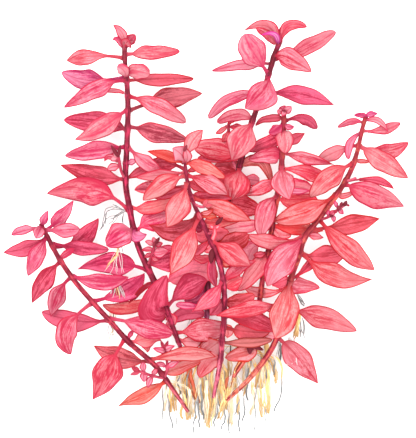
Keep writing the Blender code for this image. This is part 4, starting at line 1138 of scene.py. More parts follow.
RIGHT_TALL_SMALL_LEAVES = [
    Leaf("pair_2_left", (270.5, 65), (247, 64.5), (211.5, 71), (24, 16), 5.6, 20, 42, 15, -5, 6, 13, ROSE,
         -12, 7, 7, 6, -1),
    Leaf("top_left", (278.5, 43.5), (266.5, 26.5), (244, 31), (33, 31), 6.1, 3, 39, -11, 1, 9, 15, CORAL, -4,
         -7, 4, -6, -1),
    Leaf("top_petal", (278.5, 44), (266.5, 33.5), (256, 28.5), (36, 38), 4.4, 2, 35, 5, 6, 5, 7, CORAL, 0, 7,
         7, -2, -1),
    Leaf("top_violet", (279, 45), (273.5, 35.5), (259.5, 36.5), (40, 40), 2.5, 5, 35, -8, -3, 9, 14, VIOLET,
         -12, 7, 0, -2, -14, 1),
    Leaf("top_right", (280, 41), (288.5, 28), (307, 27.5), (31, 29), 5.5, 2, 51, 3, 7, 5, 14, CORAL, 0, -1,
         -2, 5, -1),
    Leaf("pair_2_far_right", (273.5, 58), (309.5, 49), (336.5, 31), (17, 0.25), 7.9, 12, 44, 16, 10, 5, 18,
         CORAL, -5, -7, 0, 7, -2),
    Leaf("pair_4_left", (252, 121), (237.5, 115), (217, 122.5), (20, 17), 6.2, 5, 50, 0, -2, 4, 7, CORAL, -5,
         7, 2, 7, -2, -1),
    Leaf("pair_5_left", (242, 156), (216, 148), (194, 147.5), (14, 11), 11.4, 7, 43, 4, 5, 5, 13, CORAL, 3,
         -7, 6, 1, 0, 2),
    Leaf("pair_5_low", (241, 160), (215, 159.5), (197.5, 158.5), (11, 7), 4.3, 9, 48, -1, -7, 5, 15, CRIMSON,
         -12, 7, 0, 7, 1, 6),
    Leaf("pair_5_right", (240.5, 165), (261, 161.5), (271, 183.5), (21, 19), 5.9, 2, 41, 6, -2, 5, 8, OLIVE,
         -2, 6, -7, -4, -1, 4),
    Leaf("pair_6_left", (238, 172), (229, 167.5), (214, 167), (9, 6), 9.9, 9, 38, -6, -1, 6, 15, CRIMSON, -2,
         -7, 7, 1, 2, 4),
    Leaf("pair_6_right", (237, 174), (251, 180.5), (259.5, 181), (14, 12), 6.1, 16, 49, -4, 5, 5, 17, MAUVE,
         -12, 6, 7, 0, -1, 4),
    Leaf("pair_7_right", (227.5, 204.5), (245, 206.5), (262, 212), (12, 12), 10.7, 2, 43, 0, 0, 7, 11,
         CRIMSON, 0, 5, 0, 2, 2, 8),
    Leaf("pair_9_left", (207.5, 289.5), (197, 296), (184, 300.5), (10, 8), 6.2, 7, 44, 8, 9, 5, 15, MAUVE, 4,
         2, 7, 2, -6, 10),
    Leaf("pair_10_violet", (207.5, 307), (186.5, 304.5), (176, 304), (16, 14), 3.6, 12, 46, -4, 7, 5, 15,
         VIOLET, -6, -7, -7, 7, 0, 10),
    Leaf("pair_10_left", (207, 314), (186.5, 315), (169.5, 324), (11, 9), 7, 2, 47, -7, -6, 5, 7, CRIMSON,
         -11, 3, -7, 4, -1, 4),
    Leaf("shoot_left", (228.5, 125.5), (222, 130), (215.5, 133.5), (13, 12), 2.6, 5, 51, 1, 0, 7, 14, CORAL,
         -12, 7, -7, 7, 0, 3),
    Leaf("shoot_right", (228.5, 126), (236.5, 126.5), (243, 126), (14, 13), 3.4, 10, 47, -2, -1, 8, 16,
         CORAL, 5, 0, -7, 7, -1, 4),
    Leaf("shoot_top", (228.5, 124), (232, 120.5), (238.5, 121), (15, 15), 2.9, 8, 46, 11, 1, 8, 15, CRIMSON,
         -12, 1, -7, -4, 2, 10),
    Leaf("shoot_low", (229, 130), (226, 136), (222, 142), (16, 16), 3.6, 11, 50, 5, 0, 7, 15, CORAL, -1, 7,
         -6, 7, 0, 1),
]

RIGHT_TALL = Stem(
    "right_tall_stem", RIGHT_SKIN, 0.95, 0.15,
    path=[(279.5, 42, 28), (274, 56.5, 27), (268, 76.5, 26), (261, 98, 25), (251.5, 123.5, 23),
          (242, 157, 18), (236, 179, 14), (221.5, 219, 11), (213, 258, 10), (208, 285, 11),
          (207, 315, 11.5), (204.5, 345.5, 11)],
    shoots=[[(238, 172, 16), (231, 155, 12), (228.8, 135, 12), (228.7, 123, 13)]],
    leaves=RIGHT_TALL_LEAVES,
    small_leaves=RIGHT_TALL_SMALL_LEAVES,
    buds=[
        Bud((279.6, 43), (280, 28), (29, 30), 2),
    ],
)

CENTRE_LEAVES = [
    Leaf("pair_2_left", (187, 175), (164, 184), (143, 200.5), (41, 33), 9.7, 11, 46, -3, 4, 7, 13, SALMON,
         -2, -7, -6, -2, 1),
    Leaf("pair_2_right", (187, 176.5), (211.5, 184.5), (229, 196), (39, 32), 9.3, 7, 46, -2, 0, 11, 12, ROSE,
         -4, -5, -1, 2, 2),
    Leaf("pair_3_front", (188, 184), (180, 206.5), (166.5, 227.5), (46, 41), 12, 12, 46, -4, -2, 9, 15,
         SALMON, -3, -5, 3, -2, 1),
    Leaf("pair_4_right", (192.5, 200.5), (223, 209), (251.5, 221), (37, 30), 9.3, 10, 51, 1, -2, 10, 11,
         CORAL, -3, -4, -1, -5, 2),
    Leaf("pair_5_front", (200.5, 218), (184, 248.5), (170, 275), (45, 38), 12.7, 13, 43, 1, 3, 11, 19,
         SALMON, -1, -6, -7, 0, 1),
    Leaf("pair_6_right", (212, 241), (232, 254), (251, 266), (43, 36), 11.3, 8, 46, 1, 0, 10, 17, CORAL, 0,
         -7, -7, -2),
    Leaf("pair_9_left", (223, 281), (211, 297), (191.5, 311.5), (42, 36), 8.5, 11, 47, 18, -3, 12, 15, CORAL,
         -2, -6, 1, 2, -2),
]

CENTRE_SMALL_LEAVES = [
    Leaf("pair_1_right", (185.5, 163), (203.5, 167.5), (225, 178), (40, 35), 7, 5, 46, 12, -4, 5, 13, ORANGE,
         -3, -7, 6, -3),
    Leaf("tip_front", (185, 164), (181.5, 155.5), (172.5, 148.5), (41, 42), 9.1, 8, 46, 2, -2, 8, 15, ROSE,
         -12, 1, -3, -1),
    Leaf("tip_lobe", (185, 164), (187.5, 157), (184.5, 149), (41.5, 43.5), 4.6, 6, 50, 0, 0, 6, 10, ROSE,
         -12, 2, 2, -2, 1),
    Leaf("tip_right", (185, 163), (190.5, 145), (203, 130), (35, 34), 7.7, 22, 48, 4, -1, 8, 15, SALMON, -5,
         5, -2, -2),
    Leaf("pair_1_left", (185.5, 164.5), (167.5, 156), (147.5, 151.5), (33, 30), 5.4, 7, 44, -1, 0, 8, 13,
         ORANGE, 8, -2, 1, 5, 1, -1),
    Leaf("pair_1_low_left", (185.5, 168), (169, 163.5), (149, 162.5), (25, 22), 7.4, 26, 42, 14, 0, 5, 19,
         CRIMSON, 3, 1, -1, 3, 1, 2),
    Leaf("pair_1_low_right", (186, 171.5), (193.5, 169.5), (198, 170.5), (33, 32), 2.8, 10, 46, 9, -1, 9, 13,
         CRIMSON, -9, 0, 7, -1, 2, 3),
    Leaf("pair_2_far_left", (186, 172), (161.5, 175), (135.5, 177.5), (32, 30), 5.6, 12, 51, -4, 1, 8, 12,
         CORAL, -9, 4, -7, -1, -1),
    Leaf("pair_2_low_right", (188, 183), (196, 185.5), (205, 191.5), (32, 30), 4.9, 7, 45, -2, -1, 5, 13,
         CRIMSON, -7, -1, 1, 7, 2, 5),
    Leaf("pair_3_right", (190, 194.5), (205.5, 197), (232, 198.5), (31, 29), 5.3, 10, 38, -10, 2, 5, 12,
         CRIMSON, -3, -4, -4, 3, 1, 3),
    Leaf("pair_3_left", (188, 187), (170.5, 194), (154.5, 198.5), (31, 28), 4.7, 10, 45, -4, -1, 7, 15,
         CRIMSON, -5, 7, -2, 2, 1, 3),
    Leaf("pair_3_far_left", (188, 184.5), (155.5, 189.5), (134.5, 190), (26, 21), 6.2, 26, 48, -12, -7, 8,
         15, MAUVE, -1, 7, -5, 5, 0, 3),
    Leaf("pair_4_left", (198, 215), (175.5, 231), (148, 224.5), (31, 27), 11.1, 5, 47, 19, -11, 13, 15,
         CRIMSON, 0, 7, 2, 1, 2, -1),
    Leaf("pair_5_right", (202, 222), (219, 222.5), (243, 220), (32, 29), 6.2, 2, 33, -12, 2, 8, 12, ORANGE,
         4, 5, 3, 7, -1, 1),
    Leaf("pair_5_low_right", (208, 235), (215.5, 232), (229, 231.5), (33, 32), 8.8, 2, 43, -8, -6, 6, 15,
         CRIMSON, -12, 4, 3, 7, 2, 2),
    Leaf("pair_6_left", (210.5, 241.5), (198.5, 249.5), (193, 253.5), (35, 34), 4.4, 2, 45, 0, 5, 5, 14,
         CRIMSON, -7, -6, -7, 7, 1, 2),
    Leaf("pair_6_far_right", (212, 243.5), (234, 242), (248, 233.5), (33, 30), 10.5, 11, 41, -11, 4, 6, 16,
         CRIMSON, 4, -3, -5, 3, 3, -1),
    Leaf("pair_7_right", (224, 279.5), (238.5, 268), (256, 261), (34.5, 33), 6.4, 5, 42, 0, 0, 9, 11, ROSE,
         3, -7, -6, -1, 1, 1),
    Leaf("pair_6_under", (220.5, 260), (227.5, 263), (234, 264.5), (34, 34), 4, 5, 45, 0, 0, 9, 10, ORANGE,
         1, -5, 2, 4, 1, 7),
    Leaf("pair_8_right", (223.5, 285.5), (233, 283), (242.5, 278.5), (33, 31), 9.9, 3, 43, 12, 3, 7, 16,
         CORAL, 0, 0, -3, -3, 0, 4),
    Leaf("pair_10_right", (224, 299), (236.5, 301.5), (254.5, 294.5), (31, 29), 8.6, 6, 53, -18, 2, 5, 7,
         CRIMSON, -3, -5, 1, 2, 3, 1),
    Leaf("pair_11_right", (224, 317), (252, 320), (274, 330.5), (28, 25), 9.4, 3, 51, 2, 3, 5, 13, CRIMSON,
         6, -7, -6, 0, 1, 2),
    Leaf("pair_11_low_right", (221.5, 327), (246, 331.5), (270, 332), (23, 20), 8.4, 22, 38, -10, 0, 6, 8,
         CRIMSON, -12, -3, -5, 2, 3, 1),
    Leaf("pair_12_right", (222, 341.5), (249.5, 342.5), (272.5, 339.5), (25, 22), 5, 2, 48, 4, -2, 5, 16,
         OLIVE, -12, 0, 7, 3, 0, -2),
    Leaf("pair_13_left", (219.5, 361), (208, 363.5), (199, 378), (15, 11), 9.3, 2, 36, -19, 7, 5, 11, CORAL,
         -10, 7, -3, 7, 1, 1),
    Leaf("pair_12_left", (222, 341), (212, 348.5), (202, 357), (18, 15), 10.8, 7, 48, 2, -8, 6, 14, ROSE, -7,
         7, -7, -3, 4, -1),
    Leaf("pair_5_fold", (200, 221), (199.5, 216.5), (198, 212), (40.3, 40.5), 2.6, 5, 50, 0, 0, 5, 8, SALMON,
         0, 1, 0, 1, -1, -1),
    Leaf("pair_5_dark", (203, 226), (199.5, 225), (196, 218.5), (33, 32), 6.7, 5, 45, 8, 3, 9, 15, CRIMSON,
         4, 0, 0, 0, -1, -1),
    Leaf("pair_5_low_left", (206, 234), (201.5, 235.5), (195, 233.5), (34, 33), 7.3, 2, 38, 10, 0, 6, 14,
         CRIMSON, -12, -7, 7, 7, 2, 3),
    Leaf("pair_6_small", (212, 244), (208, 247.5), (202.5, 250), (36, 35), 5.4, 4, 50, 4, 2, 8, 15, ROSE, -3,
         4, 2, 0, 2, 9),
    Leaf("pair_6_orange", (216, 252.5), (203.5, 259), (193, 255), (30, 28), 4.4, 14, 45, -7, 2, 5, 15,
         ORANGE, 3, -6, 7, 7, -3, 3),
    Leaf("pair_7_left", (216.5, 253), (211.5, 269.5), (216, 287), (33.5, 30), 4.8, 8, 52, 0, 1, 6, 9, VIOLET,
         5, -2, 7, 7, 4, 2),
    Leaf("pair_7_low_right", (220, 260), (225, 262.5), (234, 266.5), (33, 31), 5, 4, 45, 1, 0, 10, 15,
         ORANGE, 1, -7, 3, 7, 1, 10),
    Leaf("pair_4_twig", (199, 212), (207, 212.5), (213, 208.5), (39, 39), 2.8, 7, 45, -3, -3, 7, 15, ROSE,
         -7, 7, 7, 7, 4),
    Leaf("pair_4_orange", (199, 216), (210, 216), (217, 217), (35, 34), 3.6, 10, 47, -2, 2, 9, 14, ORANGE,
         -2, 2, -3, 7, 2, 6),
    Leaf("pair_11_left", (224, 300), (216, 307.5), (210, 315.5), (33, 28), 8, 2, 44, 1, 2, 10, 12, CRIMSON,
         -7, 7, 2, 4, 0, 1),
    Leaf("pair_11_small", (223.5, 326), (228, 331), (227, 338), (22, 20), 6, 4, 45, -2, -1, 9, 15, ROSE, -12,
         7, -5, 7, 4, 10),
    Leaf("twig_left", (214.5, 229), (212, 227), (209.5, 224.5), (43, 43.5), 1.8, 10, 46, 0, 0, 9, 15, SALMON,
         -12, 0, 0, 0, 0, 9),
    Leaf("twig_stalk", (213, 239), (214.5, 234), (214.5, 228), (42, 43.5), 1.8, 5, 50, 0, 0, 3, 3, SALMON,
         -12, 0, 0, 0, 0, 7),
    Leaf("twig_right", (214.5, 229), (217.5, 227), (219.5, 225), (43, 43.5), 1.8, 9, 45, 0, 0, 9, 15, SALMON,
         -12, 0, 0, 0, 0, 9),
]

CENTRE = Stem(
    "centre_stem", CENTRE_SKIN, 0.6, 0.1,
    path=[(185, 163, 36), (187, 179.5, 36), (192, 199, 37), (200, 217.5, 38), (211, 241, 38),
          (219.5, 262, 38), (224, 290, 37), (224, 319, 34), (222, 340, 27), (220.5, 360, 19),
          (213.5, 398, 9.5)],
    shoots=[[(194, 204, 37), (201, 207, 40), (206, 206, 41)],
            [(207, 234, 38), (213, 232, 41), (215, 226, 42)]],
    leaves=CENTRE_LEAVES,
    small_leaves=CENTRE_SMALL_LEAVES,
    buds=[
        Bud((185, 163), (184.2, 150), (36.5, 44), 1.6, ROSE, 3),
        Bud((184, 151.5), (187, 145.5), (44, 44.8), 1.9, MAUVE, 12),
        Bud((205, 206), (212, 205), (42, 42), 2.5, SALMON),
        Bud((204, 206), (207, 200), (42, 43), 2.5, SALMON),
        Bud((212, 249.5), (211, 263), (39.5, 39.8), 3.3, MAUVE, 15),
        Bud((216, 224.5), (222.5, 217.5), (42, 42), 2.2, MAUVE, 15),
    ],
)

INNER_LEAVES = [
    Leaf("pair_2_front", (283, 129.5), (284.5, 139.5), (284.5, 153.5), (30, 29), 9.2, 2, 47, -8, 4, 5, 7,
         SALMON, 1, 0, -2, -5, -1),
    Leaf("pair_4_front", (281.5, 166.5), (283.5, 181.5), (290, 200), (32, 31), 12.1, 10, 47, -7, 0, 9, 15,
         ROSE, -4, -4, 2, -3, 1),
    Leaf("pair_5_front", (277, 196), (266.5, 210.5), (261, 236.5), (31, 28), 10.8, 6, 52, 1, -1, 5, 17, ROSE,
         -2, -7, -2, 0, 1),
]

INNER_SMALL_LEAVES = [
    Leaf("pair_1_right", (284, 120), (305.5, 117.5), (317, 129), (24, 19), 5.7, 5, 53, -15, -8, 5, 15,
         CRIMSON, 0, -6, -7, -7, -1, -2),
    Leaf("pair_4_left", (280, 179), (262.5, 189), (242.5, 195.5), (26, 20), 6.8, 7, 41, 1, -7, 8, 17, ROSE,
         -1, -7, 7, 7, 2, 3),
    Leaf("tip_left", (284, 113), (280, 111.5), (277.5, 109.5), (27, 27), 3.4, 10, 46, 0, 0, 9, 14, CORAL,
         -12, 7, 0, 5, -3, 2),
    Leaf("tip_right", (284, 113), (288, 110.5), (291.5, 106.5), (27, 27), 4.1, 8, 41, 11, 2, 6, 14, CORAL,
         -12, -7, 3, -1, -4),
    Leaf("tip_up", (284, 113), (283, 110), (285.5, 105.5), (26, 27), 3.8, 11, 49, 7, 1, 8, 16, CORAL, 6, -1,
         -4, -4, -4),
    Leaf("tip_down", (284, 112), (284, 113), (281.5, 117), (28, 28), 3, 10, 45, 0, -1, 9, 15, ROSE, -12, 2,
         7, -4, -1),
    Leaf("pair_1_left", (284.5, 118), (267, 120), (255.5, 126), (23, 20), 3.8, 3, 34, 6, -8, 6, 9, CRIMSON,
         -12, 6, 7, 7, 1, -1),
    Leaf("pair_2_violet", (283, 126), (276, 130), (268.5, 133), (27, 26), 5.3, 10, 41, -2, 0, 5, 15, VIOLET,
         8, -1, 4, 7, 2, 1),
    Leaf("pair_2_small", (283.5, 126), (288.5, 126.5), (294, 126.5), (27, 26), 3.1, 10, 46, -19, -1, 7, 15,
         VIOLET, -4, 7, -7, 0, 1),
    Leaf("pair_2_left", (282.5, 137), (266.5, 140.5), (244.5, 149.5), (20, 17), 7.4, 7, 42, 22, 9, 6, 8,
         CRIMSON, -4, -7, 0, 2, 0, 5),
    Leaf("pair_2_right", (282.5, 145), (293, 140), (305, 133), (20, 17), 5.6, 19, 45, 6, 0, 9, 15, CRIMSON,
         -12, 7, 7, 7, 1),
    Leaf("pair_3_left", (282, 157), (264.5, 155), (248.5, 159.5), (25, 22), 8.2, 2, 23, -3, 7, 5, 9, ROSE, 0,
         -7, -7, 5, 0, 1),
    Leaf("pair_3_right", (282, 155), (306, 157.5), (334, 164.5), (25, 20), 6.1, 11, 46, -11, -1, 11, 14,
         ROSE, -1, 4, -6, 7, 1),
    Leaf("pair_4_right", (281.5, 169), (303.5, 171), (326, 180.5), (18, 16), 7.7, 8, 66, -1, 0, 5, 7, CORAL,
         2, 6, -2, 7, 0, 7),
    Leaf("pair_4_low_right", (280, 182), (299.5, 188), (314, 191.5), (15, 12), 7.8, 7, 40, 6, 5, 5, 14,
         CORAL, -9, -7, 7, -7, -2, 8),
    Leaf("pair_5_violet", (277.5, 192.5), (294.5, 190), (310.5, 190.5), (19, 17), 3.3, 11, 46, -4, -6, 8, 15,
         VIOLET, -12, -7, 7, 2, 1, 8),
    Leaf("pair_5_right", (277, 198.5), (294, 201), (318, 199.5), (13, 10), 8.4, 11, 42, -11, 9, 5, 13,
         ORANGE, 4, 7, -1, 7, -2, 10),
    Leaf("pair_6_left", (273.5, 226), (248, 226), (221.5, 230.5), (22, 20), 6.9, 18, 46, -4, 0, 5, 15,
         SALMON, -6, -7, -1, 4, -2, 10),
    Leaf("pair_6_right", (273.5, 225.5), (298.5, 229), (323.5, 231), (20, 17), 7.1, 3, 49, 3, 3, 10, 10,
         ORANGE, 4, -7, -3, 7, 0, 7),
    Leaf("pair_6_low_right", (272.5, 230), (282, 234), (291.5, 234), (20, 19), 4.7, 2, 39, -11, -3, 5, 9,
         ROSE, -6, 5, -7, 7, 3, 9),
    Leaf("pair_7_down", (269.5, 245), (253, 249.5), (248, 274), (17, 14), 8.9, 23, 46, -18, -6, 7, 16, ROSE,
         -8, -7, -7, -3, 0, 10),
    Leaf("pair_7_left", (268, 252), (260.5, 255), (253, 255), (24, 23), 3.5, 16, 46, -3, -2, 8, 16, CRIMSON,
         -12, 7, 1, 7, 1, 3),
    Leaf("pair_8_down", (267, 256), (254.5, 269), (237, 290.5), (23, 22), 8.8, 8, 41, 4, 8, 5, 11, CORAL, -6,
         -1, 2, -3, 0, 5),
    Leaf("pair_10_left", (250.5, 346.5), (245.5, 353), (225, 358), (13, 12), 8.7, 2, 45, 19, -7, 5, 7, ROSE,
         -2, -1, -1, -4, 5, 3),
]

INNER = Stem(
    "inner_stem", INNER_SKIN, 0.84, 0.12,
    path=[(284, 112, 24), (283.5, 128, 24), (282, 153.5, 24), (281, 173, 24), (276.5, 201.5, 23),
          (272.5, 222.5, 22), (268.5, 251.5, 21), (262.5, 280.5, 19), (258, 312, 16),
          (253, 345, 12.5), (233.5, 377.5, 10)],
    shoots=[],
    leaves=INNER_LEAVES,
    small_leaves=INNER_SMALL_LEAVES,
    buds=[
        Bud((250, 344), (250, 354), (15, 14.5), 3.2, MAUVE, 13),
        Bud((252, 345.5), (263, 350), (15, 14.5), 2.5, MAUVE, 13),
    ],
)

ARCHING_LEAVES = [
    Leaf("pair_3_right", (359.5, 146), (383.5, 162), (408.5, 178), (24, 14), 10, 9, 44, -3, 2, 8, 9, SALMON,
         -1, 1, 7, -4),
    Leaf("pair_4_left", (353, 163), (329, 178.5), (310, 197.5), (28, 25), 10.7, 13, 41, 7, -4, 6, 15, SALMON,
         1, -7, -3, -5, 1),
    Leaf("pair_5_right", (344, 182), (375.5, 195), (405, 206.5), (21, 0.25), 12.4, 7, 41, -19, 6, 9, 10,
         CORAL, -1, -7, -7, 0, -2),
    Leaf("pair_6_left", (336, 195.5), (304.5, 214.5), (273.5, 221), (31, 26), 11.7, 9, 44, 0, -11, 7, 20,
         CORAL, -4, 0, -3, 4, 2),
    Leaf("pair_7_left", (305, 240), (277.5, 261.5), (267, 286), (37, 34), 14, 2, 45, 14, 8, 8, 14, ROSE, -2,
         -5, -4, -6),
    Leaf("pair_8_right", (320, 219.5), (345.5, 247), (374.5, 270), (29, 17), 11.2, 12, 52, -3, 1, 8, 7,
         CORAL, -1, -7, -3, 4, 1),
    Leaf("pair_9_right", (300.5, 251), (334, 275), (373.5, 279), (22, 8), 11.7, 12, 41, 8, -7, 11, 22, CORAL,
         -4, -7, 0, -1, 1),
    Leaf("pair_10_front", (290, 282.5), (282.5, 311), (275, 338.5), (35, 31), 14.5, 4, 52, 5, 9, 8, 11,
         SALMON, -1, -2, 4, -3, 2),
    Leaf("pair_11_left", (285.5, 302), (252, 310), (216, 315.5), (38, 40), 8.1, 15, 42, -16, -3, 9, 21,
         CORAL, 3, 3, 5),
    Leaf("pair_11_right", (283.5, 308), (317.5, 317), (357.5, 331.5), (17, 0.25), 11.4, 18, 46, 0, 6, 7, 19,
         CORAL, -5, -7, -1, 3),
    Leaf("pair_12_right", (278, 336.5), (300, 359.5), (318.5, 384.5), (15, 0.25), 12.4, 11, 40, -5, -2, 10,
         9, ROSE, -3, 7, 1, 2, 2),
]

ARCHING_SMALL_LEAVES = [
    Leaf("pair_3_left", (358.5, 147.5), (340, 150), (313.5, 163), (20, 14), 7.2, 30, 51, 6, 0, 9, 14, CORAL,
         -12, -7, 5, -1, -1),
    Leaf("tip_left", (366, 118), (363, 115.5), (353.5, 115), (19, 18), 2.8, 7, 47, 6, -1, 5, 15, VIOLET, 7,
         7, -6, 0, -1),
    Leaf("tip_right", (366, 118), (370, 114), (378, 113.5), (19, 18), 3.3, 9, 47, -2, -2, 8, 15, VIOLET, 6,
         1, 7, -7, -3, 1),
    Leaf("pair_1_left", (364.5, 123.5), (352.5, 121.5), (337.5, 127.5), (17, 13), 3.5, 7, 52, -4, 0, 5, 14,
         ROSE, -4, -2, 3, 3, -1),
    Leaf("pair_1_right", (363, 131.5), (382, 130), (401, 122.5), (19, 14), 5.2, 12, 60, 0, 0, 7, 10, CORAL,
         -2, -2, -7, -6, -2),
    Leaf("pair_1_fold", (364.5, 120.5), (377.5, 121), (388, 132), (21.5, 20), 3.4, 5, 50, 0, 3, 8, 9, SALMON,
         -12, -6, 6, 6, -3),
    Leaf("pair_2_violet", (360, 131.5), (348.5, 144.5), (348.5, 159.5), (22, 22), 4.1, 5, 51, 4, 5, 5, 10,
         VIOLET, -8, 1, -4, -3, 2),
    Leaf("pair_3_far_right", (359.5, 147), (384, 150.5), (409.5, 142), (12, 0.25), 7.8, 21, 46, -13, -3, 7,
         15, CORAL, 3, -3, 0, -3, -1, 1),
    Leaf("pair_4_right", (353.5, 162), (360.5, 160.5), (370.5, 161.5), (17, 16), 2.3, 17, 49, -2, -3, 5, 14,
         ROSE, -12, 2, -7, -5, 4, 3),
    Leaf("pair_5_far_right", (345, 180), (374, 180), (394.5, 189), (14, 6), 3.9, 22, 53, 11, 0, 9, 12,
         CRIMSON, -12, 7, 7, 7, 0, 3),
    Leaf("pair_6_right", (338, 193), (343, 195.5), (356.5, 190), (19, 17), 3, 10, 48, 1, -4, 5, 16, ROSE,
         -12, -7, -7, 7, 3, 4),
    Leaf("pair_7_right", (308, 236.5), (315.5, 236), (323.5, 237.5), (22, 19), 3.7, 7, 43, 5, -2, 9, 16,
         ROSE, -11, -7, 0, 7, 1, 3),
    Leaf("pair_7_far_left", (306.5, 238), (276, 242.5), (245.5, 234), (29, 29), 7.7, 21, 54, 2, 0, 9, 12,
         CORAL, -3, -4, -2, -4),
    Leaf("pair_8_far_right", (311.5, 231.5), (347, 224.5), (380.5, 218.5), (18, 7), 9.8, 25, 42, -11, 1, 10,
         18, CRIMSON, -5, 2, 4, 1, 3, 1),
    Leaf("pair_9_far_right", (300, 252.5), (322, 257.5), (345.5, 252), (19, 13), 10.5, 18, 49, 1, 6, 5, 13,
         CRIMSON, -9, 4, 7, 5, 2, 2),
    Leaf("pair_9_stalk_leaf", (291.5, 277.5), (308, 267.5), (313.5, 260.5), (22, 19), 4.7, 10, 54, 8, 3, 10,
         13, CRIMSON, -1, -7, 7, 7, 1, 4),
    Leaf("pair_10_right", (290, 280.5), (300, 288), (320, 288), (20, 17), 8.9, 2, 30, -3, 15, 6, 7, ROSE, -2,
         0, -3, -2, 1, 2),
    Leaf("pair_10_left", (290, 279.5), (280, 282.5), (272, 286), (22, 20), 6.1, 4, 41, 27, -4, 10, 8,
         CRIMSON, -10, 7, 7, 0, 1, 9),
    Leaf("flower_up", (338, 208.5), (336, 205), (334.5, 200.5), (34, 34), 2.1, 10, 54, 0, 0, 8, 13, VIOLET,
         -12, -7, -7, 0, -1),
    Leaf("flower_down", (339, 207.5), (340.5, 211), (343.5, 214), (33, 32), 2.6, 10, 48, 1, -1, 7, 13, ROSE,
         -9, 7, 7, 4, -3),
    Leaf("flower_low", (331.5, 215.5), (333, 218), (333.5, 222.5), (30, 29), 2.4, 10, 50, 0, 1, 8, 13,
         VIOLET, -12, -7, 2, 6),
    Leaf("flower_left", (330, 216.5), (328, 213.5), (329.5, 209.5), (31, 31), 1.8, 10, 49, 0, 1, 8, 13,
         VIOLET, -12, 0, 0, -2),
    Leaf("flower_middle", (331, 216), (332, 213), (334, 210), (32, 32), 2.8, 10, 49, -1, 0, 8, 13, ROSE, -1,
         0, -2, 0, -1),
    Leaf("pair_12_left", (277, 338), (270.5, 335.5), (261, 334), (20, 18), 4.5, 8, 45, -9, 1, 7, 15, SALMON,
         -12, -7, 7, -4, -2, 4),
    Leaf("pair_11_far_left", (282, 315.5), (270.5, 307.5), (263, 306), (17, 14), 3.9, 10, 45, 7, 5, 9, 15,
         CRIMSON, -12, 0, -7, 2, 1, 5),
    Leaf("pair_10_far_left", (289, 288), (263.5, 295), (244, 287), (15.5, 14), 5.4, 5, 57, -4, -10, 7, 13,
         ROSE, -9, -7, 7, 3, 3, 10),
]

ARCHING = Stem(
    "arching_stem", ARCHING_SKIN, 0.72, 0.16,
    path=[(365.5, 117, 18), (362, 130.5, 18), (357, 152.5, 19), (350, 172.5, 20), (336.5, 195, 22),
          (320.5, 217, 24), (305, 236.5, 26), (299, 256, 26), (291, 278.5, 25),
          (284.5, 308.5, 23), (277, 337.5, 18), (265, 359.5, 13), (247.5, 381, 10.5),
          (226.5, 401, 9.5)],
    shoots=[[(320.5, 219.5, 24), (327, 217.5, 28), (335, 212, 31), (345, 204.5, 33)],
            [(345, 181, 20.5), (351, 180, 23), (356, 178, 24)]],
    leaves=ARCHING_LEAVES,
    small_leaves=ARCHING_SMALL_LEAVES,
    buds=[
        Bud((337, 210), (340, 205.5), (33, 34), 2.3, MAUVE, 12),
        Bud((340.5, 207), (341.5, 202), (33.5, 35), 2, MAUVE, 13),
        Bud((344, 206), (346, 201), (34, 36), 2.3, MAUVE, 14),
        Bud((334, 213), (337, 209.5), (32, 33), 2, CRIMSON, 10),
        Bud((329.5, 217), (333, 215), (30.5, 31), 1.4, MAUVE, 14),
        Bud((346, 204.5), (349, 206), (34, 33), 1.3, CRIMSON, 6),
    ],
)

LEANING_LEAVES = [
    Leaf("pair_1_left", (47, 237), (26, 248), (2.5, 252.5), (14, 0.25), 7.9, 9, 46, 6, -1, 9, 16, CRIMSON,
         -8, -5, -1, 6, -1),
    Leaf("pair_1_front", (47, 237.5), (36.5, 256.5), (28, 276), (24, 19), 8.4, 2, 48, 3, -1, 8, 18, ROSE, 2,
         -7, 2, -4, -2),
    Leaf("pair_3_left", (60.5, 260.5), (43, 280.5), (31.5, 303.5), (18, 6), 9.1, 10, 43, 16, 0, 9, 14,
         CRIMSON, 2, -4, -7, -3),
    Leaf("pair_4_left", (73, 277.5), (58.5, 292.5), (50.5, 317), (18, 11), 8.9, 22, 50, 1, 2, 10, 14, ROSE,
         -2, -7, 2, 7, -1, -1),
    Leaf("pair_5_left", (92.5, 302), (66.5, 329), (71, 354.5), (27, 19), 10.8, 22, 42, -11, 10, 7, 15, ROSE,
         -1, 0, -3, 5),
    Leaf("pair_6_left", (109, 321), (76.5, 320.5), (41, 312), (16, 4), 10.2, 11, 54, 12, 3, 6, 11, CRIMSON,
         -12, -2, -7, 7, -1, -1),
    Leaf("pair_6_right", (110, 320), (143.5, 324), (173, 333), (32, 29), 10.3, 22, 45, -6, -9, 5, 12, ROSE,
         5, 3, 1, -4, -1),
    Leaf("pair_7_left", (124.5, 339), (108, 366.5), (92.5, 400), (27, 15), 14.8, 29, 40, 2, 11, 10, 13,
         CORAL, 3, -1, -1, 4, -1),
    Leaf("pair_8_right", (149, 360), (186, 354), (216, 357), (28, 21), 7.5, 5, 54, -9, 5, 9, 9, SALMON, -6,
         -2, 7, 7, 2, -1),
    Leaf("pair_9_left", (167.5, 380.5), (138.5, 398.5), (116.5, 408), (14, 0.25), 7.6, 7, 36, 20, -12, 15,
         14, ORANGE, -4, 1, 2, 6, 2),
]

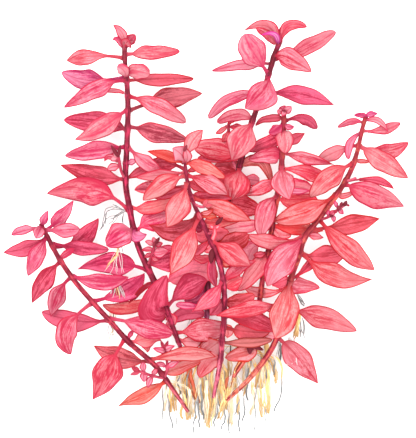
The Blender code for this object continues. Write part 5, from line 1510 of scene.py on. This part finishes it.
LEANING_SMALL_LEAVES = [
    Leaf("tip_leaf_right", (44, 230), (57.5, 220), (73.5, 200.5), (21, 20), 7.2, 28, 38, -2, -3, 8, 10, ROSE,
         0, -7, 7, 3, -3),
    Leaf("pair_2_up", (53.5, 247), (78, 240.5), (98, 218.5), (14, 9), 9, 31, 45, -6, -1, 9, 16, CRIMSON, -1,
         -2, -7, 4, -1, 2),
    Leaf("pair_4_right", (73, 277), (102, 282), (128.5, 277), (28, 27), 8.3, 6, 47, 0, -1, 7, 13, ROSE, 5, 7,
         4, 5, -2),
    Leaf("pair_8_left", (148.5, 361), (120.5, 359), (93.5, 346), (14, 8), 10.2, 13, 44, -6, -2, 9, 13, MAUVE,
         -2, -1, -5, 7, 2, 1),
    Leaf("tip_up", (42, 227), (44, 220), (48.5, 210), (22, 22), 4.2, 10, 46, 1, 1, 10, 13, ROSE, -2, -7, -7,
         4, -4),
    Leaf("tip_left", (41.5, 226.5), (26, 231), (11, 235), (20, 16), 4.6, 16, 50, -23, -4, 6, 17, ROSE, -7, 7,
         2, 5, -3),
    Leaf("tip_down", (42, 227), (39, 232), (36, 238.5), (25, 25), 5.9, 8, 44, -1, 0, 7, 13, ROSE, -7, -7, -7,
         6, -2),
    Leaf("tip_right", (43.5, 230), (65.5, 230), (80, 229), (25, 23), 7.4, 13, 49, -6, 0, 7, 11, ROSE, -7, -1,
         -1, 6, -2),
    Leaf("pair_2_right", (52, 245), (78, 247.5), (109, 249.5), (20, 18), 7.2, 22, 43, 2, -2, 5, 14, CRIMSON,
         -1, -7, -3, 7, -2),
    Leaf("pair_3_right", (60, 258.5), (67.5, 252), (73.5, 248.5), (24, 24), 3.4, 2, 45, -5, -4, 5, 9, ROSE,
         12, 7, -3, -7, -1),
    Leaf("pair_5_right", (92.5, 301), (122.5, 290), (144.5, 273), (22, 20), 10.4, 17, 50, -5, -12, 10, 9,
         CRIMSON, 2, 7, -1, 7, -3, 3),
    Leaf("pair_7_right", (129, 341), (130, 335), (134.5, 329.5), (27, 27), 2.4, 15, 53, 1, 0, 9, 16, ROSE, 5,
         7, 0, -2, -2),
    Leaf("pair_7_orange", (129, 342.5), (146, 341.5), (161.5, 341), (21, 18), 9.7, 9, 45, -3, 18, 11, 19,
         ORANGE, -11, 7, -7, 6, -3, 5),
    Leaf("pair_7_point", (131, 344), (143.5, 342), (147.5, 352.5), (20.5, 19), 5.2, 15, 55, 0, 0, 8, 11,
         ORANGE, -12, 2, 1, 1, -2, 4),
    Leaf("pair_9_right", (161, 374.5), (177.5, 369), (201.5, 361), (17, 14), 6.5, 8, 43, 1, 3, 5, 16, CORAL,
         -9, 7, -7, 5, 3, 1),
    Leaf("low_shoot_1", (145, 373), (142.5, 366.5), (143.5, 362), (26, 26), 3.2, 12, 44, 0, -4, 5, 14, ROSE,
         -12, 7, 7, 7, -2),
    Leaf("low_shoot_2", (145, 373), (143.5, 376), (144, 382), (24, 23), 3.9, 5, 43, 1, 2, 5, 12, ROSE, -4,
         -7, -7, 1, -2),
    Leaf("low_shoot_3", (152.5, 375.5), (149.5, 381), (148, 388), (23, 22), 3.3, 5, 46, -1, 0, 7, 15, ROSE,
         -12, -7, -7, 7, -2),
    Leaf("low_shoot_4", (152.5, 375.5), (154.5, 372), (157.5, 369), (25, 25), 2.6, 5, 50, 0, 0, 6, 10, ROSE,
         -10, 1, -1, 0, -1),
    Leaf("up_shoot_left", (167, 367.5), (161.5, 363.5), (155, 363.5), (23, 23), 2.6, 13, 45, 4, 4, 10, 15,
         ROSE, -12, 0, -7, 7, -2),
    Leaf("up_shoot_right", (167, 368), (172.5, 363.5), (179.5, 361.5), (23, 23), 3.2, 10, 41, 4, -2, 9, 15,
         ROSE, -12, -7, 1, 1, -2, 4),
    Leaf("up_tip_left", (165, 350), (161.5, 350.5), (153, 348), (25, 25), 3.1, 5, 39, 3, -2, 5, 14, ROSE,
         -12, 7, -7, 7, -2, 2),
    Leaf("up_tip_right", (165, 350), (168.5, 349), (175, 345.5), (25, 25), 3.5, 7, 39, 6, 3, 8, 15, ROSE,
         -12, 7, 7, 7, -2, 3),
]

LEANING = Stem(
    "leaning_stem", LEANING_SKIN, 0.78, 0.03,
    path=[(40.5, 223.5, 18), (47.5, 237, 19), (59.5, 259, 21), (75.5, 282, 23), (95, 304.5, 25),
          (111, 322, 26), (130, 343, 26), (150, 360.5, 24), (164, 377, 18), (188, 412, 8.5)],
    shoots=[[(164, 378.6, 18), (150, 375, 23), (137.6, 370.4, 24)],
            [(164, 378.6, 18), (167, 370, 21), (166.6, 357, 22), (164.5, 348, 23)]],
    leaves=LEANING_LEAVES,
    small_leaves=LEANING_SMALL_LEAVES,
    buds=[
        Bud((139, 371), (132, 367), (25, 25), 3),
        Bud((140, 371.5), (131, 374.5), (24.5, 25), 2.2, ROSE, 3),
        Bud((164.8, 349.5), (161, 341), (23.5, 25), 2),
        Bud((164.8, 349.5), (168, 341), (23.5, 25), 2),
    ],
)


@dataclass(frozen=True)
class Strands:
    """A bundle of root strands along a path, in one colour.

    path holds plan places with heights, count is the number of strands and radius that of a strand in
    millimetres. spread is how far they part at the path's two ends and wiggle how far a strand strays,
    both in plan units. low is the least share of the path's heights that a strand keeps, short the
    least share of the way that it reaches, flat its height for its width, and fine the share of the way
    over which it is still a hair.
    """

    path: tuple[Spot, ...]
    count: int
    radius: float
    fibre: Fibre
    spread: tuple[float, float] = (3.0, 5.0)
    wiggle: float = 1.5
    low: float = 0.35
    short: float = 0.7
    flat: float = 1.0
    fine: float = 0.0

    def build(self, bm: bmesh.types.BMesh, layers: Layers, chance: Random) -> None:
        """Add the strands to a bmesh, one after the other."""
        for _ in range(self.count):
            self.build_strand(bm, layers, chance)

    def build_strand(self, bm: bmesh.types.BMesh, layers: Layers, chance: Random) -> None:
        """Add one winding strand to a bmesh.

        Args:
            bm: The bmesh that the strand is added to.
            layers: The layer root_place of the bmesh.
            chance: Random numbers of the bundle's piece.
        """
        radius = self.radius * chance.uniform(*STRAND_THICKNESSES)
        rise = chance.uniform(self.low, 1.0)
        aside = (chance.uniform(-1, 1), STRAND_FLATTENING * chance.uniform(-1, 1))
        corners = []
        for number, (x, y, height) in enumerate(self.path):
            part = self.spread[0] + (self.spread[1] - self.spread[0]) * number / (len(self.path) - 1)
            corners.append(place((x + part * aside[0], y + part * aside[1]), height * rise))
        line = Line(corners, STRAND_STEP)
        last = len(line.points) - 1
        steps = min(last, max(LEAST_STRAND_STEPS, round(last * chance.uniform(self.short, 1.0))))
        turns = chance.uniform(*STRAND_WINDINGS) * line.distances[-1] / WINDING_LENGTH
        phase = chance.uniform(0, 2 * pi)
        seed = chance.uniform(*SEEDS)
        away = UP.cross(corners[-1] - corners[0]).normalized() * self.wiggle * PLAN_UNIT
        points, rings = [], []
        for number in range(steps + 1):
            way = number / steps
            stray = (sin(2 * pi * turns * way + phase) - sin(phase)) * way ** 0.5
            stray += SECOND_WINDING * sin(SECOND_WINDING_TURN * pi * turns * way + seed) * way
            thin = min(radius, HAIR_RADIUS)
            if way > self.fine:
                thin = (1 - STRAND_TIP_SLIMMING * way ** 6) * radius
            spot = line.points[number] + away * stray
            spot.z = max(spot.z, (thin * self.flat + FLOOR_GAP) * MM)
            points.append(spot)
            rings.append(oval(thin, thin * self.flat, STRAND_SIDES))

        def mark(vert: bmesh.types.BMVert, section: int, turn: float) -> None:
            """Write the layer of the strand."""
            layers.write(vert, (section / steps, section * STRAND_STEP, seed))
        tube(bm, points, rings, mark)


@dataclass(frozen=True)
class Roots:
    """Root strands that stand for some CAD nodes, as one piece of each colour."""

    name: str
    nodes: tuple[str, ...]
    bundles: list[Strands]

    def build(self) -> None:
        """Build and dress the strands."""
        for fibre in Fibre:
            matching = [bundle for bundle in self.bundles if bundle.fibre is fibre]
            if not matching:
                continue
            bm = bmesh.new()
            layers = Layers(bm, "root_place")
            chance = Random(self.name + fibre.name)
            for bundle in matching:
                bundle.build(bm, layers, chance)
            finished(f"{self.name}_{fibre.name.lower()}", bm, fibre.value, *self.nodes)


# The lowest nodes of the stems, where the root mass grows from
CROWNS = [(165.5, 379, 16), (205, 347, 9), (219.5, 359, 15), (247, 352, 10), (265, 357, 11),
          (185, 405, 8), (236, 374, 9)]

# A band hangs from a crown this far above its upper place, and a place sideways of it counts for more
CROWN_GAP = 4
SIDEWAYS_WEIGHT = 2.5
CROWN_BELOW_PENALTY = 200

# The bands of the root mass: the radius of a strand, the heights of the upper and lower places, how
# often a band lies high, the strands in a plan unit of width, and how far they part
MASS_RADII = {GOLD: 0.48, PALE: 0.5, GREY: 0.46, RED: 0.75}
HIGH_BAND = 12.0
LOW_BAND = 3.0
BAND_END = 1.2
HIGH_BAND_EVERY = 3
STRANDS_PER_UNIT = 0.8
BAND_PARTING = 0.6
HIDDEN_SHARE = 0.9

# Where the bands show: their upper and lower places on the plan and their widths in plan units
ROOT_BANDS = {
    GOLD: [
        (168, 386, 169, 413, 2), (173, 392, 173, 412, 2.5), (176, 396, 178, 411, 1.5),
        (180, 398, 181, 420, 2), (184, 378, 185, 403, 1.5), (188, 376, 187, 421, 3),
        (184, 396, 185, 420, 1.5), (190, 396, 191, 420, 1.5), (179, 374, 180, 396, 1.5),
        (196, 366, 191, 392, 3), (192, 378, 195, 408, 1.5), (197, 398, 199, 410, 2.5),
        (195, 402, 196, 420, 1.5), (202, 382, 206, 407, 2), (207, 376, 210, 428, 3.5),
        (211, 372, 213, 398, 2.5), (213, 398, 207, 429, 2.5), (209, 404, 204, 431, 2),
        (213, 412, 211, 427, 1.5), (221, 386, 223, 411, 6), (226, 374, 224, 402, 2.5),
        (224, 398, 217, 421, 5), (229, 391, 229, 412, 5), (228, 354, 228, 380, 3),
        (236, 370, 234, 394, 4), (238, 400, 238, 414, 3), (251, 358, 247, 380, 2.5),
        (252, 382, 252, 396, 2), (255, 366, 257, 389, 3), (259, 352, 256, 388, 2.5),
        (266, 343, 266, 362, 5), (262, 368, 262, 418, 2.5), (267, 368, 268, 414, 4),
        (265, 396, 265, 416, 2), (245, 386, 243, 397, 1.5), (273, 358, 277, 384, 2),
        (277, 358, 281, 385, 1.5), (270, 360, 274, 378, 1.5), (266, 374, 258, 392, 1.5),
    ],
    PALE: [
        (166, 392, 165, 412, 2), (182, 374, 181, 402, 3), (193, 384, 193, 418, 3),
        (199, 384, 201, 420, 3), (216, 398, 214, 419, 4), (223, 346, 223, 384, 3),
        (232, 356, 231, 376, 3), (231, 400, 231, 426, 7), (239, 396, 239, 416, 3),
        (252, 396, 249, 416, 4), (243, 368, 243, 392, 3), (249, 364, 249, 384, 3),
        (262, 362, 261, 388, 3), (268, 366, 269, 410, 4), (175, 380, 172, 400, 3),
        (206, 384, 205, 424, 4), (212, 380, 214, 416, 4), (224, 372, 221, 410, 5),
        (187, 390, 188, 416, 4), (257, 392, 262, 410, 2), (274, 362, 276, 380, 3),
    ],
    GREY: [
        (166, 386, 172, 430, 1), (163, 392, 163, 424, 1.5), (188, 376, 185, 400, 1),
        (196, 402, 192, 437, 1), (201, 386, 203, 420, 1), (199, 406, 201, 428, 1),
        (206, 376, 207, 400, 1), (218, 398, 222, 411, 1), (218, 406, 214, 428, 1),
        (224, 412, 221, 430, 1), (229, 412, 230, 434, 1), (240, 398, 235, 415, 1),
        (239, 414, 239, 433, 1), (247, 372, 247, 401, 1), (251, 358, 247, 382, 1),
        (257, 388, 254, 431, 1.5), (263, 360, 267, 384, 1), (266, 414, 267, 428, 1),
        (283, 382, 276, 412, 1), (279, 343, 279, 364, 1.5), (272, 360, 273, 376, 1),
        (180, 376, 180, 394, 1), (225, 376, 222, 388, 1), (230, 346, 230, 362, 1),
        (176, 412, 176, 426, 1.5), (244, 400, 243, 422, 1),
    ],
    RED: [
        (188.5, 372, 195, 400, 2), (191, 372, 198.5, 403, 2.5), (240, 360, 231, 388, 2.5),
        (230, 378, 225, 392, 1.5),
    ],
}


def crown_above(x: float, y: float) -> Spot:
    """Find the crown that a band hangs from, given its upper place.

    Args:
        x: The band's upper place, across the plan.
        y: The same, down the plan.

    Returns:
        The nearest crown above that place.
    """
    def distance(crown: Spot) -> float:
        """Find how far off a crown counts as."""
        below = CROWN_BELOW_PENALTY if crown[1] > y - CROWN_GAP else 0
        return abs(crown[0] - x) * SIDEWAYS_WEIGHT + abs(y - CROWN_GAP - crown[1]) + below
    return min(CROWNS, key=distance)


def root_mass() -> Roots:
    """Lay out the root mass: bands of strands that run down from the stems' lowest nodes.

    Returns:
        The root mass, not yet built.
    """
    bundles = []
    for fibre, bands in ROOT_BANDS.items():
        for number, (x, y, tip_x, tip_y, width) in enumerate(bands):
            crown = crown_above(x, y)
            high = fibre in (GREY, RED) or number % HIGH_BAND_EVERY == 0
            path = (crown, (x, y, HIGH_BAND if high else LOW_BAND), (tip_x, tip_y, BAND_END))
            upper = ((crown[0] - x) ** 2 + (crown[1] - y) ** 2) ** 0.5
            lower = ((tip_x - x) ** 2 + (tip_y - y) ** 2) ** 0.5
            count = 1 if fibre is GREY else max(1, round(STRANDS_PER_UNIT * width))
            bundles.append(Strands(path, count, MASS_RADII[fibre], fibre, (0.5, BAND_PARTING * width),
                                   wiggle=0.9, low=0.6, short=0.97, flat=0.7,
                                   fine=HIDDEN_SHARE * upper / (upper + lower)))
    return Roots("root_mass_strands", ("root_mass",), bundles)


UPPER_TUFT = Roots("upper_root_tuft_strands", ("upper_root_tuft",), [
    Strands(((125, 210, 21), (110, 209, 19), (101, 234, 14)), 3, 0.24, GREY, (1.0, 3.5), 1.6, 0.9),
    Strands(((125, 211, 21), (112, 217, 18), (104, 226, 14)), 2, 0.24, GREY, (1.0, 3), 1.8, 0.9),
    Strands(((125, 210, 21), (113, 207, 18)), 2, 0.22, GREY, (1.5, 1.5), 1.6, 0.9),
    Strands(((125, 211, 21), (123, 223, 17)), 2, 0.22, GREY, (1.0, 2), 0.8, 0.9),
    Strands(((125, 211, 21), (112, 222, 16)), 3, 0.22, GREY, (1.0, 5), 1.4, 0.9),
])

HANGING_TUFT = Roots("hanging_root_tuft_strands", ("hanging_root_tuft",), [
    Strands(((130.5, 233, 20), (119, 243, 25), (117.5, 256, 26)), 4, 0.26, GOLD, (0.5, 1.2), 0.4, 0.95, 0.9),
    Strands(((118, 246, 25.5), (116, 255, 25.5), (104, 269, 24)), 3, 0.2, GOLD, (0.8, 1.6), 0.8, 0.95, 0.8),
    Strands(((118, 248, 25.5), (116, 256, 25.5), (108, 273, 24)), 2, 0.14, WHITE, (0.8, 3.5), 1.0, 0.95,
            0.8),
    Strands(((118, 248, 25.5), (117, 258, 25.5), (116, 275, 24)), 2, 0.14, WHITE, (0.8, 3.5), 1.0, 0.95,
            0.8),
    Strands(((118, 248, 25.5), (120, 256, 25.5), (122, 273, 24)), 2, 0.14, WHITE, (0.8, 1.2), 0.6, 0.95,
            0.9),
    Strands(((116, 276, 25), (116, 283, 25), (108, 303, 22)), 4, 0.16, WHITE, (0.8, 3), 0.8, 0.95, 0.85),
    Strands(((116, 276, 25), (117, 283, 25), (116, 304, 22)), 5, 0.16, WHITE, (0.8, 3.5), 0.8, 0.95, 0.85),
    Strands(((116, 276, 25), (118, 284, 25), (125, 302, 22)), 4, 0.18, WHITE, (0.8, 2), 0.8, 0.95, 0.85),
    Strands(((117, 276, 25), (117, 283, 25.5), (119, 300, 22.5)), 2, 0.2, GOLD, (0.5, 1), 0.6, 0.95, 0.9),
    Strands(((119, 244, 24), (122, 248, 20), (123, 256, 16)), 2, 0.16, GREY, (0.5, 1), 0.5, 0.95),
    Strands(((114, 308, 14), (113, 344, 8)), 6, 0.26, PALE, (3, 5), 1.4, 0.8, 0.5),
    Strands(((114, 308, 14), (113, 341, 8)), 4, 0.18, GREY, (3, 5), 1.6, 0.8, 0.5),
])

NODE_ROOTS = Roots("node_rootlets", ("arching_stem",), [
    Strands(((296.4, 294, 15), (303, 305, 9)), 4, 0.3, GREY, (1.2, 2.5), 0.8),
    Strands(((300, 314, 12), (295, 339, 10)), 8, 0.5, GOLD, (1, 3), 0.8),
    Strands(((301, 318, 9), (304, 338, 3)), 5, 0.25, GREY, (2, 2.5), 1.0),
    Strands(((291, 338, 17), (292, 363, 16)), 12, 0.26, WHITE, (3, 6), 0.8, 0.95),
    Strands(((280, 342, 12), (279, 361, 8)), 6, 0.14, GREY, (1.5, 3), 1.0),
    Strands(((192, 319, 9), (190, 326, 8)), 5, 0.14, GREY, (4, 4), 0.6),
    Strands(((190, 333, 10), (186, 350, 6)), 6, 0.14, GREY, (4, 5), 0.8),
])


class Studio:
    """The plain pale floor and the soft light around the bunch."""

    FLOOR_SIZE = 8.0
    FLOOR_PAINT = (0.93, 0.93, 0.93, 1.0)
    FLOOR_ROUGHNESS = 0.9
    SKY_COLOUR = (1.0, 1.0, 1.0, 1.0)
    SKY_STRENGTH = 2.25
    LAMPS = (((-0.5, 0.5, 1.2), 0.9, 21.0), ((0.6, -0.3, 1.4), 1.2, 15.5))

    def build_floor(self) -> None:
        """Build the floor and paint it matt."""
        bm = bmesh.new()
        bmesh.ops.create_grid(bm, x_segments=1, y_segments=1, size=self.FLOOR_SIZE / 2)
        mesh = bpy.data.meshes.new("floor")
        bm.to_mesh(mesh)
        bm.free()
        paint = bpy.data.materials.new("floor_paint")
        paint.use_nodes = True
        shader = paint.node_tree.nodes["Principled BSDF"]
        shader.inputs["Base Color"].default_value = self.FLOOR_PAINT
        shader.inputs["Roughness"].default_value = self.FLOOR_ROUGHNESS
        mesh.materials.append(paint)
        floor = bpy.data.objects.new("floor", mesh)
        bpy.context.scene.collection.objects.link(floor)
        floor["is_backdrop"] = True

    def build_light(self) -> None:
        """Build the sky and the lamps, each given by its place in metres, its size and its power."""
        world = bpy.data.worlds.new("soft_sky")
        world.use_nodes = True
        sky = world.node_tree.nodes["Background"]
        sky.inputs["Color"].default_value = self.SKY_COLOUR
        sky.inputs["Strength"].default_value = self.SKY_STRENGTH
        bpy.context.scene.world = world
        for number, (spot, size, power) in enumerate(self.LAMPS):
            lamp = bpy.data.lights.new(f"soft_lamp_{number}", "AREA")
            lamp.size = size
            lamp.energy = power
            holder = bpy.data.objects.new(lamp.name, lamp)
            holder.location = spot
            holder.rotation_euler = (-Vector(spot)).to_track_quat("-Z", "Y").to_euler()
            holder.visible_camera = False
            bpy.context.scene.collection.objects.link(holder)

    def build(self) -> None:
        """Build the floor and the light."""
        self.build_floor()
        self.build_light()


class PlanView:
    """The camera straight above the bunch, far away with a long lens, as the plan is drawn."""

    MIDDLE = (208.0, 219.0)
    LONG_SIDE = 438.0
    DISTANCE = 5.0
    TRUE_HEIGHT = 20.0
    SENSOR = 36.0
    NEAREST = 0.1
    FARTHEST = 50.0

    def build(self) -> None:
        """Place the camera so that one plan unit is one pixel at the true height."""
        lens = bpy.data.cameras.new("plan_view")
        lens.sensor_width = self.SENSOR
        lens.lens = self.SENSOR * self.DISTANCE / (self.LONG_SIDE * PLAN_UNIT)
        lens.clip_start = self.NEAREST
        lens.clip_end = self.FARTHEST
        camera = bpy.data.objects.new("plan_view", lens)
        camera.location = place(self.MIDDLE, self.TRUE_HEIGHT) + UP * self.DISTANCE
        bpy.context.scene.collection.objects.link(camera)
        bpy.context.scene.camera = camera
        bpy.context.scene.view_settings.view_transform = "Standard"


def main() -> None:
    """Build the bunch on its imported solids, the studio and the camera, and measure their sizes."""
    logging.basicConfig(level=logging.INFO, format="%(message)s")
    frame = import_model()
    solid_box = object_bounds()
    log_line.info("%d solids loaded", len(frame["nodes"]))
    PlanView().build()
    Studio().build()
    for stem in (LEFT_TALL, RIGHT_TALL, CENTRE, INNER, ARCHING, LEANING):
        stem.build()
    for roots in (root_mass(), UPPER_TUFT, HANGING_TUFT, NODE_ROOTS):
        roots.build()
    sizes = {"solids": solid_box, "scene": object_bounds()}
    {name: [list(corner) for corner in box] for name, box in sizes.items()}


if __name__ == "__main__":
    main()
